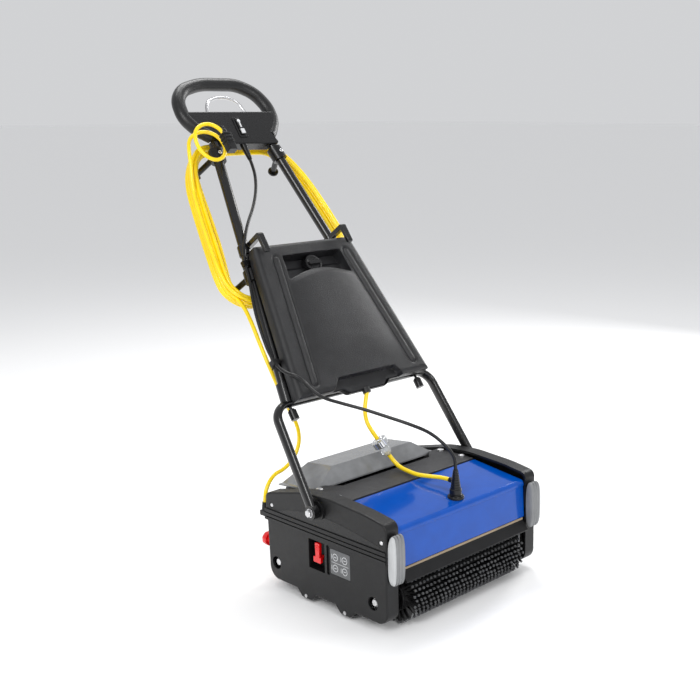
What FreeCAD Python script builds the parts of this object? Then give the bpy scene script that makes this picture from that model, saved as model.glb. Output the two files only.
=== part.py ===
"""Walk-behind wet and dry floor scrubber, as one parametric document.

Millimetres. +Z is up, the machine's front faces -Y and +X is to the right of someone who faces that
front. The origin lies on the floor under the middle of the machine's box. The head is modelled about
its own middle and moved by head_y; the handle is modelled upright about its pivot and leaned back by
handle_lean.
"""
import FreeCAD, Part
import math
import os
from FreeCAD import Placement, Rotation, Vector

DIMENSIONS = {
    "head_y": (-207.59, "middle of the head from the origin"),
    "body_width": (440.0, "outside width over the side panels"),
    "panel_depth": (30.0, "side panel thickness"),
    "panel_wall": (5.0, "side panel wall"),
    "front_edge": (-180.0, "front edge of the side panels"),
    "back_edge": (176.0, "back edge of the side panels"),
    "panel_base": (21.0, "lower edge of the side panels"),
    "split_height": (147.0, "joint between side panel and side cap"),
    "crest_height": (236.0, "highest point of a side cap"),
    "cap_back": (182.0, "back edge of the side caps"),
    "brush_radius": (58.0, "brush radius at the bristle tips"),
    "core_radius": (30.0, "brush core radius"),
    "brush_length": (336.0, "working width of the brushes"),
    "front_brush_y": (-141.0, "front brush axis"),
    "rear_brush_y": (149.0, "rear brush axis"),
    "axle_radius": (8.0, "brush and drum axle radius"),
    "drum_radius": (84.0, "pick-up drum radius"),
    "drum_y": (4.0, "pick-up drum axis"),
    "drum_z": (90.0, "pick-up drum axis height"),
    "frame_inner": (180.0, "inner face of the frame plates"),
    "frame_plate": (5.0, "frame plate thickness"),
    "cover_half": (186.5, "half width of the covers between the side caps"),
    "cover_wall": (3.0, "wall of the moulded covers"),
    "cover_back_y": (-36.0, "back edge of the motor cover"),
    "cover_back_z": (224.0, "height of the motor cover at its back"),
    "cover_front_z": (208.0, "height of the motor cover at its front"),
    "cover_base": (128.0, "lower edge of the motor cover"),
    "motor_radius": (36.0, "drive motor radius"),
    "motor_y": (-112.0, "drive motor axis"),
    "motor_z": (164.0, "drive motor axis height"),
    "wheel_radius": (12.6, "guide wheel radius"),
    "front_wheel_y": (-60.0, "front guide wheel axis"),
    "rear_wheel_y": (57.0, "rear guide wheel axis"),
    "lid_front_y": (74.0, "front edge of the recovery tank lid"),
    "lid_back_y": (188.0, "back edge of the recovery tank lid"),
    "lid_height": (255.0, "top of the recovery tank lid"),
    "tank_floor": (124.0, "underside of the recovery tank"),
    "pivot_y": (12.0, "handle pivot from the middle of the head"),
    "pivot_z": (207.0, "handle pivot height"),
    "handle_lean": (35.3, "lean of the handle from upright"),
    "arm_x": (233.0, "yoke arm axis at the pivot"),
    "arm_top_x": (219.0, "yoke arm axis at the bend"),
    "yoke_height": (226.0, "crosspiece above the pivot"),
    "yoke_bend": (36.0, "bend radius of the yoke"),
    "tube_radius": (11.0, "handle tube radius"),
    "tube_foot_x": (179.5, "handle tube axis at the crosspiece"),
    "tube_head_x": (74.0, "handle tube axis in the grip"),
    "tube_head_z": (868.0, "upper end of the handle tubes"),
    "grip_radius": (15.0, "grip radius"),
    "lead_radius": (3.5, "switch lead radius"),
    "hose_radius": (4.5, "solution hose radius"),
    "cord_radius": (4.25, "mains cord radius"),
    "coil_radius": (18.4, "radius of the bundle of hung-up cord"),
    "running_gap": (0.05, "radial clearance of a running fit"),
}

doc = FreeCAD.newDocument("floor_scrubber")
sheet = doc.addObject("Spreadsheet::Sheet", "dims")
for row, (alias, (value, note)) in enumerate(DIMENSIONS.items(), start=1):
    sheet.set(f"A{row}", note)
    sheet.set(f"B{row}", str(value))
    sheet.setAlias(f"B{row}", alias)
doc.recompute()

NODES = {}
HEAD = "head"
HANDLE = "handle"
SIDES = {"left": -1, "right": 1}


def dim(alias):
    return float(sheet.get(alias))


# ---------------------------------------------------------------- places

def place_in_frame(obj, frame):
    """Moves a finished sub-part from its own frame, the head's or the handle's, to the machine's."""
    if frame == HANDLE:
        obj.Placement = Placement(Vector(), Rotation(Vector(-1, 0, 0), dim("handle_lean")))
        obj.setExpression("Placement.Rotation.Angle", "dims.handle_lean")
        obj.setExpression("Placement.Base.y", "dims.head_y + dims.pivot_y")
        obj.setExpression("Placement.Base.z", "dims.pivot_z")
    else:
        obj.setExpression("Placement.Base.y", "dims.head_y")


def from_handle(x, y, z):
    """A point of the upright handle's frame, in the head's frame, with the handle leaned back."""
    lean = math.radians(dim("handle_lean"))
    return Vector(
        x,
        dim("pivot_y") + y * math.cos(lean) + z * math.sin(lean),
        dim("pivot_z") - y * math.sin(lean) + z * math.cos(lean),
    )


def node(label, obj, frame=HEAD):
    """Registers a finished sub-part under the name that its file takes."""
    if obj.TypeId in ("Part::Box", "Part::Cylinder", "Part::Cone", "Part::Torus"):
        obj = compound(label + "_part", obj)
    obj.Label = label
    place_in_frame(obj, frame)
    NODES[label] = obj
    return obj


# ---------------------------------------------------------------- Part primitives and booleans

TURNS = {
    "x": Rotation(Vector(0, 1, 0), 90),
    "y": Rotation(Vector(1, 0, 0), -90),
    "z": Rotation(),
}


def box(name, low, high):
    """A box between two corners, each given as three formulas."""
    obj = doc.addObject("Part::Box", name)
    for axis, size, start, stop in zip("xyz", ("Length", "Width", "Height"), low, high):
        obj.setExpression(size, f"({stop}) - ({start})")
        obj.setExpression(f"Placement.Base.{axis}", f"{start}")
    return obj


def rod(name, axis, start, radius, length):
    """A cylinder from a start point along one axis, all of it given as formulas."""
    obj = doc.addObject("Part::Cylinder", name)
    obj.Placement = Placement(Vector(), TURNS[axis])
    for letter, formula in zip("xyz", start):
        obj.setExpression(f"Placement.Base.{letter}", f"{formula}")
    obj.setExpression("Radius", f"{radius}")
    obj.setExpression("Height", f"{length}")
    return obj


def cone(name, axis, start, radius, end_radius, length):
    obj = doc.addObject("Part::Cone", name)
    obj.Placement = Placement(Vector(), TURNS[axis])
    for letter, formula in zip("xyz", start):
        obj.setExpression(f"Placement.Base.{letter}", f"{formula}")
    obj.setExpression("Radius1", f"{radius}")
    obj.setExpression("Radius2", f"{end_radius}")
    obj.setExpression("Height", f"{length}")
    return obj


def fuse(name, *shapes):
    obj = doc.addObject("Part::MultiFuse", name)
    obj.Shapes = list(shapes)
    obj.Refine = True
    return obj


def cut(name, base, *tools):
    obj = doc.addObject("Part::Cut", name)
    obj.Base = base
    obj.Tool = tools[0] if len(tools) == 1 else fuse(name + "_tools", *tools)
    obj.Refine = True
    return obj


def compound(name, *shapes):
    obj = doc.addObject("Part::Compound", name)
    obj.Links = list(shapes)
    return obj


def feature(name, shape):
    obj = doc.addObject("Part::Feature", name)
    obj.Shape = shape
    return obj


def rounded(name, base, radius, chosen):
    """Rounds the edges of a Part object that the test function picks."""
    doc.recompute()
    size = dim_or(radius)
    edges = [(i, size, size) for i, edge in enumerate(base.Shape.Edges, 1) if chosen(edge)]
    obj = doc.addObject("Part::Fillet", name)
    obj.Base = base
    obj.Edges = edges
    return obj


def dim_or(value):
    return dim(value) if isinstance(value, str) else float(value)


# ---------------------------------------------------------------- sketches and PartDesign bodies

def outline(*corners):
    """Line segments and arcs round a closed outline whose corners are (u, v) or (u, v, radius)."""
    points = [Vector(c[0], c[1], 0) for c in corners]
    radii = [c[2] if len(c) > 2 else 0.0 for c in corners]
    count = len(points)
    starts, ends, arcs = [], [], []
    for i, (point, radius) in enumerate(zip(points, radii)):
        back = (points[i - 1] - point).normalize()
        ahead = (points[(i + 1) % count] - point).normalize()
        if not radius:
            starts.append(point)
            ends.append(point)
            arcs.append(None)
            continue
        half = back.getAngle(ahead) / 2
        reach = radius / math.tan(half)
        centre = point + (back + ahead).normalize() * (radius / math.sin(half))
        near, far = point + back * reach, point + ahead * reach
        middle = centre + (point - centre).normalize() * radius
        starts.append(near)
        ends.append(far)
        arcs.append(Part.Arc(near, middle, far))
    geometry = []
    for i in range(count):
        if arcs[i]:
            geometry.append(arcs[i])
        following = starts[(i + 1) % count]
        if ends[i].distanceToPoint(following) > 1e-6:
            geometry.append(Part.LineSegment(ends[i], following))
    return geometry


def circle(u, v, radius):
    return [Part.Circle(Vector(u, v, 0), Vector(0, 0, 1), radius)]


def body(name):
    return doc.addObject("PartDesign::Body", name + "_body")


def sketch(owner, plane, offset, *loops):
    """A sketch on one of the body's origin planes, moved along its normal by a formula."""
    role = {"yz": "YZ_Plane", "xz": "XZ_Plane", "xy": "XY_Plane"}[plane]
    support = next(item for item in owner.Origin.OriginFeatures if item.Role == role)
    obj = owner.newObject("Sketcher::SketchObject", owner.Name + "_sketch")
    obj.AttachmentSupport = [(support, "")]
    obj.MapMode = "FlatFace"
    obj.setExpression("AttachmentOffset.Base.z", f"{offset}")
    for loop in loops:
        obj.addGeometry(loop, False)
    return obj


def pad(owner, profile, length, reverse=False):
    obj = owner.newObject("PartDesign::Pad", owner.Name + "_pad")
    obj.Profile = profile
    obj.setExpression("Length", f"{length}")
    obj.Reversed = reverse
    return obj


def pocket(owner, profile, length, reverse=False):
    """Cuts the profile out, against the sketch's normal, or along it when reversed."""
    obj = owner.newObject("PartDesign::Pocket", owner.Name + "_pocket")
    obj.Profile = profile
    obj.setExpression("Length", f"{length}")
    obj.Reversed = reverse
    return obj


def fillet(owner, radius, chosen):
    """Rounds the edges of a body's tip that the test function picks."""
    doc.recompute()
    base = owner.Tip
    edges = [f"Edge{i}" for i, edge in enumerate(base.Shape.Edges, 1) if chosen(edge)]
    obj = owner.newObject("PartDesign::Fillet", owner.Name + "_fillet")
    obj.Base = (base, edges)
    obj.Radius = radius
    return obj


def in_plane(axis, value, tolerance=0.05):
    """Test for edges that lie wholly in one plane, such as every edge at x = value."""
    def chosen(edge):
        limits = edge.BoundBox
        return (
            abs(getattr(limits, axis.upper() + "Min") - value) < tolerance
            and abs(getattr(limits, axis.upper() + "Max") - value) < tolerance
        )
    return chosen


def along(axis, shortest=0.0):
    """Test for straight edges that run along one axis."""
    direction = {"x": Vector(1, 0, 0), "y": Vector(0, 1, 0), "z": Vector(0, 0, 1)}[axis]
    def chosen(edge):
        if not isinstance(edge.Curve, Part.Line) or edge.Length < shortest:
            return False
        return abs(abs(edge.tangentAt(edge.FirstParameter).dot(direction)) - 1) < 1e-6
    return chosen


# ---------------------------------------------------------------- swept tubes and belts

def route(points, radius_of, closed=False):
    """Straight runs joined by tangent arcs; radius_of gives the arc at a corner from its two runs."""
    count = len(points)
    corners = range(count) if closed else range(1, count - 1)
    ends = {}
    arcs = {}
    radii = []
    for i in corners:
        point = points[i]
        back = points[i - 1] - point
        ahead = points[(i + 1) % count] - point
        turn = math.pi - back.getAngle(ahead)
        radius = radius_of(min(back.Length, ahead.Length), turn)
        reach = radius * math.tan(turn / 2)
        back.normalize()
        ahead.normalize()
        near, far = point + back * reach, point + ahead * reach
        inward = (back + ahead).normalize()
        middle = point + inward * (radius / math.cos(turn / 2) - radius)
        ends[i] = (near, far)
        arcs[i] = Part.Arc(near, middle, far).toShape()
        radii.append(radius)
    edges = []
    last = count if closed else count - 1
    for i in range(last):
        start = ends[i][1] if i in ends else points[i]
        following = (i + 1) % count
        stop = ends[following][0] if following in ends else points[following]
        if start.distanceToPoint(stop) > 1e-6:
            edges.append(Part.LineSegment(start, stop).toShape())
        if following in arcs:
            edges.append(arcs[following])
    if closed:
        edges = edges[-1:] + edges[:-1]
    return Part.Wire(edges), radii


def cord_arc(shorter_run, turn):
    """The largest arc that two runs of a cord leave room for."""
    return 0.45 * shorter_run / math.tan(turn / 2)


def tube(points, radius, radius_of=cord_arc, closed=False, bore=0.0):
    """A round tube along a route; returns its shape and the radii of its arcs."""
    path, radii = route(points, radius_of, closed)
    first = path.OrderedEdges[0]
    start = first.valueAt(first.FirstParameter)
    direction = first.tangentAt(first.FirstParameter)

    def swept(size):
        ring = Part.Wire([Part.Circle(start, direction, size).toShape()])
        if closed:
            return Part.makeSolid(Part.Shell(path.makePipeShell([ring], False, False).Faces))
        return path.makePipeShell([ring], True, False)

    shape = swept(radius)
    if bore:
        shape = shape.cut(swept(bore))
    return shape, radii


def belt_loop(pulleys, offset):
    """The outline of a belt round pulleys given as (y, z, radius), anticlockwise as seen along -X."""
    count = len(pulleys)
    leave, arrive = {}, {}
    for i in range(count):
        j = (i + 1) % count
        (y1, z1, r1), (y2, z2, r2) = pulleys[i], pulleys[j]
        r1, r2 = r1 + offset, r2 + offset
        gap = math.hypot(y2 - y1, z2 - z1)
        heading = math.atan2(z2 - z1, y2 - y1)
        normal = heading - math.pi / 2 + math.asin((r2 - r1) / gap) * -1
        leave[i] = Vector(0, y1 + r1 * math.cos(normal), z1 + r1 * math.sin(normal))
        arrive[j] = Vector(0, y2 + r2 * math.cos(normal), z2 + r2 * math.sin(normal))
    edges = []
    for i, (y, z, radius) in enumerate(pulleys):
        centre = Vector(0, y, z)
        start, stop = arrive[i] - centre, leave[i] - centre
        turn = (math.atan2(stop.z, stop.y) - math.atan2(start.z, start.y)) % (2 * math.pi)
        angle = math.atan2(start.z, start.y) + turn / 2
        reach = radius + offset
        middle = centre + Vector(0, reach * math.cos(angle), reach * math.sin(angle))
        edges.append(Part.Arc(arrive[i], middle, leave[i]).toShape())
        edges.append(Part.LineSegment(leave[i], arrive[(i + 1) % count]).toShape())
    return Part.Wire(edges)


def belt(pulleys, x, width, thickness=3.0, clearance=0.15):
    inner = belt_loop(pulleys, clearance)
    outer = belt_loop(pulleys, clearance + thickness)
    band = Part.Face(outer).cut(Part.Face(inner)).Faces[0]
    band.translate(Vector(x, 0, 0))
    return band.extrude(Vector(width, 0, 0))


# ---------------------------------------------------------------- head: shells and frame

SELECTOR_Y = 20.5       # middle of the selector recess
SELECTOR_Z = 110.0
RECESS_HALF_Y = 24.0
RECESS_HALF_Z = 31.0
LOBE = 19.0             # half width of a wheel lobe at its bottom edge
LOBE_FOOT = 6.0         # lowest point of a wheel lobe
KNOB_X = -196.0         # axis of the rear knob
KNOB_Z = 90.0


def side_panel(side):
    """The lower moulded side: a shell with wheel lobes, axle windows and, on the left, a recess."""
    sign = SIDES[side]
    front, back, base = dim("front_edge"), dim("back_edge"), dim("panel_base")
    top, wall = dim("split_height"), dim("panel_wall")
    lobes = []
    for middle in (dim("front_wheel_y"), dim("rear_wheel_y")):
        lobes += [
            (middle - LOBE - 10, base, 6), (middle - LOBE + 5, LOBE_FOOT, 9),
            (middle + LOBE - 5, LOBE_FOOT, 9), (middle + LOBE + 10, base, 6),
        ]
    shape = outline((front, top), (front, base, 26), *lobes, (back - 4, base, 28), (back, top))
    owner = body("side_panel_" + side)
    outer = "dims.body_width / 2"
    inner = f"{outer} - dims.panel_depth"
    start = inner if sign > 0 else f"-({outer})"
    pad(owner, sketch(owner, "yz", start, shape), "dims.panel_depth")
    rim = in_plane("x", sign * dim("body_width") / 2)
    fillet(owner, 3.5, lambda edge: rim(edge) and edge.BoundBox.ZMin < top - 1)
    hollow = outline(
        (front + wall, top + 5), (front + wall, base + wall, 21),
        (back - wall - 4, base + wall, 23), (back - wall, top + 5),
    )
    depth = "dims.panel_depth - dims.panel_wall"
    pocket(owner, sketch(owner, "yz", f"{sign} * ({inner})", hollow), depth, sign > 0)
    if side == "left":
        block = outline(
            (SELECTOR_Y - RECESS_HALF_Y - 4, SELECTOR_Z - RECESS_HALF_Z - 4),
            (SELECTOR_Y + RECESS_HALF_Y + 4, SELECTOR_Z - RECESS_HALF_Z - 4),
            (SELECTOR_Y + RECESS_HALF_Y + 4, top), (SELECTOR_Y - RECESS_HALF_Y - 4, top),
        )
        pad(owner, sketch(owner, "yz", f"-({outer}) + dims.panel_wall - 1", block), "19")
        recess = outline(
            (SELECTOR_Y - RECESS_HALF_Y, SELECTOR_Z - RECESS_HALF_Z, 2),
            (SELECTOR_Y + RECESS_HALF_Y, SELECTOR_Z - RECESS_HALF_Z, 2),
            (SELECTOR_Y + RECESS_HALF_Y, SELECTOR_Z + RECESS_HALF_Z, 2),
            (SELECTOR_Y - RECESS_HALF_Y, SELECTOR_Z + RECESS_HALF_Z, 2),
        )
        pocket(owner, sketch(owner, "yz", f"-({outer})", recess), "20", True)
        slot = outline((-18, 80, 2), (-10, 80, 2), (-10, 141, 2), (-18, 141, 2))
        pocket(owner, sketch(owner, "yz", f"-({outer})", slot), "3", True)
        plate_seat = outline((-79, 84, 2), (-20, 84, 2), (-20, 138, 2), (-79, 138, 2))
        pocket(owner, sketch(owner, "yz", f"-({outer})", plate_seat), "1", True)
        lever_bore = circle(SELECTOR_Y, SELECTOR_Z - 8, 4.05)
        pocket(owner, sketch(owner, "yz", f"-({outer})", lever_bore), "dims.panel_depth", True)
        pocket(owner, sketch(owner, "xz", "-dims.back_edge - 2", circle(KNOB_X, KNOB_Z, 5.05)), "14", True)
    for middle in (dim("front_brush_y"), dim("rear_brush_y")):
        window = circle(middle, dim("brush_radius"), 13.5)
        pocket(owner, sketch(owner, "yz", f"{sign} * ({outer})", window), "dims.panel_wall + 1", sign < 0)
    for middle in (dim("front_wheel_y"), dim("rear_wheel_y")):
        axle_hole = circle(middle, dim("wheel_radius"), 4.05)
        pocket(owner, sketch(owner, "yz", f"{sign} * ({outer})", axle_hole), "dims.panel_depth", sign < 0)
    return owner


def cap_profile(inset, base):
    """The arched outline of a side cap, drawn in by an inset."""
    front, back = dim("front_edge") + inset, dim("cap_back") - inset
    crest = dim("crest_height") - inset
    return [
        (front, base), (back, base), (back - 3, crest - 32, max(13 - inset, 1)),
        (dim("pivot_y") + 45, crest - 3, 260), (-20, crest + 1.5, 260),
        (-120, crest - 4, 400), (front, crest - 13, max(15 - inset, 1)),
    ]


def side_cap(side):
    """The upper moulded side: an arched shell with three ribs, a lens-shaped dip and a pivot boss."""
    sign = SIDES[side]
    base = dim("split_height")
    outer, inner = "dims.body_width / 2", "dims.cover_half + 1.5"
    start = f"{inner}" if sign > 0 else f"-({outer})"
    owner = body("side_cap_" + side)
    pad(owner, sketch(owner, "yz", start, outline(*cap_profile(0, base + 0.2))), f"{outer} - ({inner})")
    hollow = outline(*cap_profile(dim("panel_wall"), base - 5))
    depth = f"{outer} - ({inner}) - dims.panel_wall"
    pocket(owner, sketch(owner, "yz", f"{sign} * ({inner})", hollow), depth, sign > 0)
    rim = in_plane("x", sign * dim("body_width") / 2)
    fillet(owner, 3.5, lambda edge: rim(edge) and edge.BoundBox.ZMax > base + 30)
    wide_start = f"{outer}" if sign > 0 else f"-({outer}) - 2.5"
    for low, high in ((147.2, 153.0), (155.5, 161.5), (164.0, 171.0)):
        rib = outline(
            (dim("front_edge") + 0.5, low), (dim("cap_back") - 1, low, 2),
            (dim("cap_back") - 1, high, 2), (dim("front_edge") + 0.5, high),
        )
        pad(owner, sketch(owner, "yz", wide_start, rib), "2.5")
    boss = circle(dim("pivot_y") - 2, dim("pivot_z") + 1, 19)
    boss_start = f"{outer} - 1" if sign > 0 else f"-({outer}) - 4"
    pad(owner, sketch(owner, "yz", boss_start, boss), "5")
    bore = circle(dim("pivot_y"), dim("pivot_z"), 6.1)
    pocket(owner, sketch(owner, "yz", f"{sign} * ({outer} + 4)", bore), "14", sign < 0)
    for y, z in ((160, 181), (-166, 187)):
        seat = circle(y, z, 5.5)
        pocket(owner, sketch(owner, "yz", f"{sign} * ({outer})", seat), "2", sign < 0)
    return owner


def frame_plate(side):
    """The metal side plate that carries the axles, the motor and the cross beams."""
    sign = SIDES[side]
    owner = body("frame_plate_" + side)
    start = "dims.frame_inner" if sign > 0 else "-(dims.frame_inner + dims.frame_plate)"
    profile = outline(
        (-170, 30, 20), (168, 30, 20), (168, 118), (90, 118), (60, 200, 10), (-20, 215, 10), (-165, 196, 12),
    )
    pad(owner, sketch(owner, "yz", start, profile), "dims.frame_plate")
    bores = [
        (dim("front_brush_y"), dim("brush_radius")), (dim("rear_brush_y"), dim("brush_radius")),
        (dim("drum_y"), dim("drum_z")),
    ]
    for y, z in bores:
        pocket(
            owner, sketch(owner, "yz", f"{sign} * (dims.frame_inner + dims.frame_plate)", circle(y, z, 14)),
            "dims.frame_plate", sign < 0,
        )
    shafts = ((dim("motor_y") - 14, dim("motor_z")), (dim("motor_y") + 26, dim("motor_z") - 8))
    for y, z in shafts if side == "right" else ():
        pocket(
            owner, sketch(owner, "yz", "dims.frame_inner + dims.frame_plate", circle(y, z, 7)),
            "dims.frame_plate",
        )
    return owner


def motor_cover():
    """The glossy cover over the drive: a top and a front, closed at its ends by the side caps."""
    owner = body("motor_cover")
    back, front = dim("cover_back_y"), dim("front_edge") + 4
    rise, crease, base, wall = dim("cover_back_z"), dim("cover_front_z"), dim("cover_base"), dim("cover_wall")
    profile = outline(
        (back, crease - 40), (back, rise, 3), (front, crease, 9), (front, crease - 12),
        (front + 1.6, crease - 14), (front - 2, base), (front + 20, base, 6), (back - 20, base + 45, 20),
    )
    pad(owner, sketch(owner, "yz", "-dims.cover_half", profile), "2 * dims.cover_half")
    hollow = outline(
        (back + 5, rise - wall), (front + wall, crease - wall, 6), (front + wall + 0.6, base - 5),
        (back + 5, base - 5),
    )
    pocket(owner, sketch(owner, "yz", "dims.cover_half + 1", hollow), "2 * dims.cover_half + 2")
    return owner


def deck_plate():
    """The textured strip behind the motor cover, with a tab at each end that carries two screws."""
    owner = body("deck_plate")
    half, front = dim("cover_half"), dim("cover_back_y") + 2.0
    tab, strip, back = half - 34, 44.0, dim("lid_front_y") - 2.0
    shape = outline(
        (-half, front, 2), (half, front, 2), (half, back, 4), (tab, back, 4), (tab - 26, strip, 4),
        (-tab + 26, strip, 4), (-tab, back, 4), (-half, back, 4),
    )
    pad(owner, sketch(owner, "xy", "dims.cover_back_z - 2", shape), "5")
    fillet(owner, 1.5, lambda edge: in_plane("z", dim("cover_back_z") + 3)(edge))
    return owner


def skirt(name, y, top, sign):
    """A rigid splash lip over a brush: it slopes out and down from the body's lower edge."""
    owner = body(name)
    shape = outline(
        (y, top), (y - sign * 6, top), (y - sign * 6, top - 6, 3), (y + sign * 14, top - 27, 2),
        (y + sign * 17, top - 24, 2), (y, top - 3, 3),
    )
    pad(owner, sketch(owner, "yz", "-dims.cover_half + 6", shape), "2 * dims.cover_half - 12")
    return owner


def bumper(side):
    """A rubber corner buffer: a tall lozenge in side view, domed forwards."""
    sign = SIDES[side]
    owner = body("bumper_" + side)
    front = dim("front_edge")
    shape = outline(
        (front - 0.3, 204), (front - 12, 205, 9), (front - 21.5, 154, 120), (front - 12, 104, 9),
        (front - 0.3, 105),
    )
    start = "dims.body_width / 2 - 32" if sign > 0 else "-(dims.body_width / 2) + 2"
    pad(owner, sketch(owner, "yz", start, shape), "30")
    return owner


def cross_beams():
    """Two square tubes between the frame plates, one at each end."""
    beams = []
    for name, y, z in (("front", -160, 178), ("rear", 70, 196)):
        low = ("-dims.frame_inner", f"{y} - 8", f"{z} - 8")
        high = ("dims.frame_inner", f"{y} + 8", f"{z} + 8")
        beams.append(box(f"{name}_beam", low, high))
    return compound("cross_beams_part", *beams)


# ---------------------------------------------------------------- head: drive

FRONT_BELT_X = 191.5
REAR_BELT_X = 202.5
BELT_WIDTH = 9.0
FRONT_OUTPUT = (-126.0, 164.0)   # y, z of the drive unit's output to the front brush
REAR_OUTPUT = (-86.0, 156.0)     # y, z of its output to the drum and the rear brush
OUTPUT_PULLEY = 12.0
FRONT_PULLEY = 26.0
REAR_PULLEY = 15.0
DRUM_PULLEY = 30.0


def drive_unit():
    """The motor along the machine and, at its right end, the box that turns two shafts apart."""
    y, z = "dims.motor_y", "dims.motor_z"
    can = rod("motor_can", "x", ("-110", y, z), "dims.motor_radius", "200")
    end_bell = rod("motor_end", "x", ("-128", y, z), "dims.motor_radius - 8", "20")
    low, high = ("88", f"{y} - 34", f"{z} - 22"), ("dims.frame_inner - 1", f"{y} + 46", f"{z} + 30")
    casing = box("drive_casing", low, high)
    foot = box("motor_foot", ("-80", f"{y} - 20", f"{z} + 30"), ("60", f"{y} + 20", f"{z} + 40"))
    joined = fuse("drive_unit_body", can, end_bell, casing, foot)
    bores = [
        rod(f"output_bore_{i}", "x", ("130", f"{at[0]}", f"{at[1]}"), "5 + dims.running_gap", "60")
        for i, at in enumerate((FRONT_OUTPUT, REAR_OUTPUT))
    ]
    return cut("drive_unit_part", joined, *bores)


def output_pulley(name, at, belt_x):
    y, z = at
    shaft = rod(name + "_shaft", "x", ("132", f"{y}", f"{z}"), "5", f"{belt_x + BELT_WIDTH + 2 - 132}")
    wheel = rod(name + "_wheel", "x", (f"{belt_x}", f"{y}", f"{z}"), f"{OUTPUT_PULLEY}", f"{BELT_WIDTH}")
    return fuse(name + "_part", shaft, wheel)


def brush_core(name, y):
    """A moulded core with end flanges; the bristles are set into it."""
    z = "dims.brush_radius"
    half = "dims.brush_length / 2"
    tube_part = rod(name + "_tube", "x", (f"-({half})", y, z), "dims.core_radius", "dims.brush_length")
    flanges = [
        rod(f"{name}_flange_{i}", "x", (f"{x}", y, z), "dims.core_radius + 3", "4")
        for i, x in enumerate((f"-({half}) - 4", half))
    ]
    joined = fuse(name + "_body", tube_part, *flanges)
    bore = rod(name + "_bore", "x", (f"-({half}) - 10", y, z), "dims.axle_radius", "dims.brush_length + 20")
    return cut(name + "_part", joined, bore)


def bristles(name, y):
    z = "dims.brush_radius"
    half = "dims.brush_length / 2"
    outer = rod(name + "_outer", "x", (f"-({half})", y, z), "dims.brush_radius", "dims.brush_length")
    inner = rod(name + "_inner", "x", (f"-({half})", y, z), "dims.core_radius", "dims.brush_length")
    return cut(name + "_part", outer, inner)


def axle(name, y, z, pulleys, reach):
    """A shaft through both frame plates with a bolt head at each end and its pulleys on the right."""
    shaft = rod(name + "_shaft", "x", (f"-{reach}", y, z), "dims.axle_radius", f"{2 * reach}")
    heads = [
        rod(f"{name}_head_{i}", "x", (f"{x}", y, z), "6.5", "3.5")
        for i, x in enumerate((-reach - 3.5, reach))
    ]
    wheels = [
        rod(f"{name}_pulley_{i}", "x", (f"{x}", y, z), f"{radius}", f"{BELT_WIDTH}")
        for i, (x, radius) in enumerate(pulleys)
    ]
    return fuse(name + "_part", shaft, *heads, *wheels)


def drum():
    """The fluted drum with its own axle and pulley."""
    y, z = dim("drum_y"), dim("drum_z")
    radius = dim("drum_radius")
    middle = Vector(0, y, z)
    along_x = Vector(1, 0, 0)
    shell = Part.makeCylinder(radius, 330, Vector(-165, y, z), along_x)
    shell = shell.cut(Part.makeCylinder(radius - 6, 322, Vector(-161, y, z), along_x))
    flutes = []
    count = 30
    for i in range(count):
        angle = 2 * math.pi * i / count
        at = middle + Vector(-165, (radius + 2.5) * math.cos(angle), (radius + 2.5) * math.sin(angle))
        flutes.append(Part.makeCylinder(5, 330, at, along_x))
    shell = shell.cut(flutes)
    shell = shell.fuse(Part.makeCylinder(dim("axle_radius"), 401, Vector(-192, y, z), along_x))
    shell = shell.fuse(Part.makeCylinder(DRUM_PULLEY, BELT_WIDTH, Vector(REAR_BELT_X, y, z), along_x))
    return feature("pickup_drum_part", shell.removeSplitter())


def axle_bearings():
    """Flanged bushes in the frame plates, two for each axle."""
    rings = []
    centres = [
        (dim("front_brush_y"), dim("brush_radius")), (dim("rear_brush_y"), dim("brush_radius")),
        (dim("drum_y"), dim("drum_z")),
    ]
    for side, sign in SIDES.items():
        for i, (y, z) in enumerate(centres):
            name = f"bush_{side}_{i}"
            start = "dims.frame_inner - 2" if sign > 0 else "-dims.frame_inner - dims.frame_plate"
            flange_start = "dims.frame_inner - 2" if sign > 0 else "-dims.frame_inner"
            barrel = rod(name + "_barrel", "x", (start, f"{y}", f"{z}"), "14", "dims.frame_plate + 2")
            flange = rod(name + "_flange", "x", (flange_start, f"{y}", f"{z}"), "17", "2")
            bore = rod(
                name + "_bore", "x", (f"{start} - 5", f"{y}", f"{z}"),
                "dims.axle_radius + dims.running_gap", "dims.frame_plate + 12",
            )
            rings.append(cut(name, fuse(name + "_ring", barrel, flange), bore))
    return compound("axle_bearings_part", *rings)


def wheel_set(name, y):
    """Two small wheels on a through axle held by the lobes of the side panels."""
    z = "dims.wheel_radius"
    shaft = rod(name + "_axle", "x", ("-dims.body_width / 2 - 1", y, z), "4", "dims.body_width + 2")
    wheels = [
        rod(f"{name}_wheel_{i}", "x", (f"{x}", y, z), "dims.wheel_radius", "9")
        for i, x in enumerate((-187, 178))
    ]
    return fuse(name + "_part", shaft, *wheels)


def selector_lever():
    """The red lever in the left recess: a paddle on a short shaft across the machine."""
    y, z = SELECTOR_Y, SELECTOR_Z - 8
    hub = rod("selector_hub", "x", ("-218", f"{y}", f"{z}"), "7", "12")
    paddle = box("selector_paddle", ("-219", f"{y} - 6", f"{z}"), ("-212", f"{y} + 5", f"{z} + 34"))
    foot = box("selector_foot", ("-219", f"{y} - 10", f"{z} - 8"), ("-212", f"{y} + 12", f"{z} + 4"))
    pin = rod("selector_pin", "x", ("-208", f"{y}", f"{z}"), "4", "14")
    return fuse("selector_lever_part", hub, paddle, foot, pin)


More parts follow.
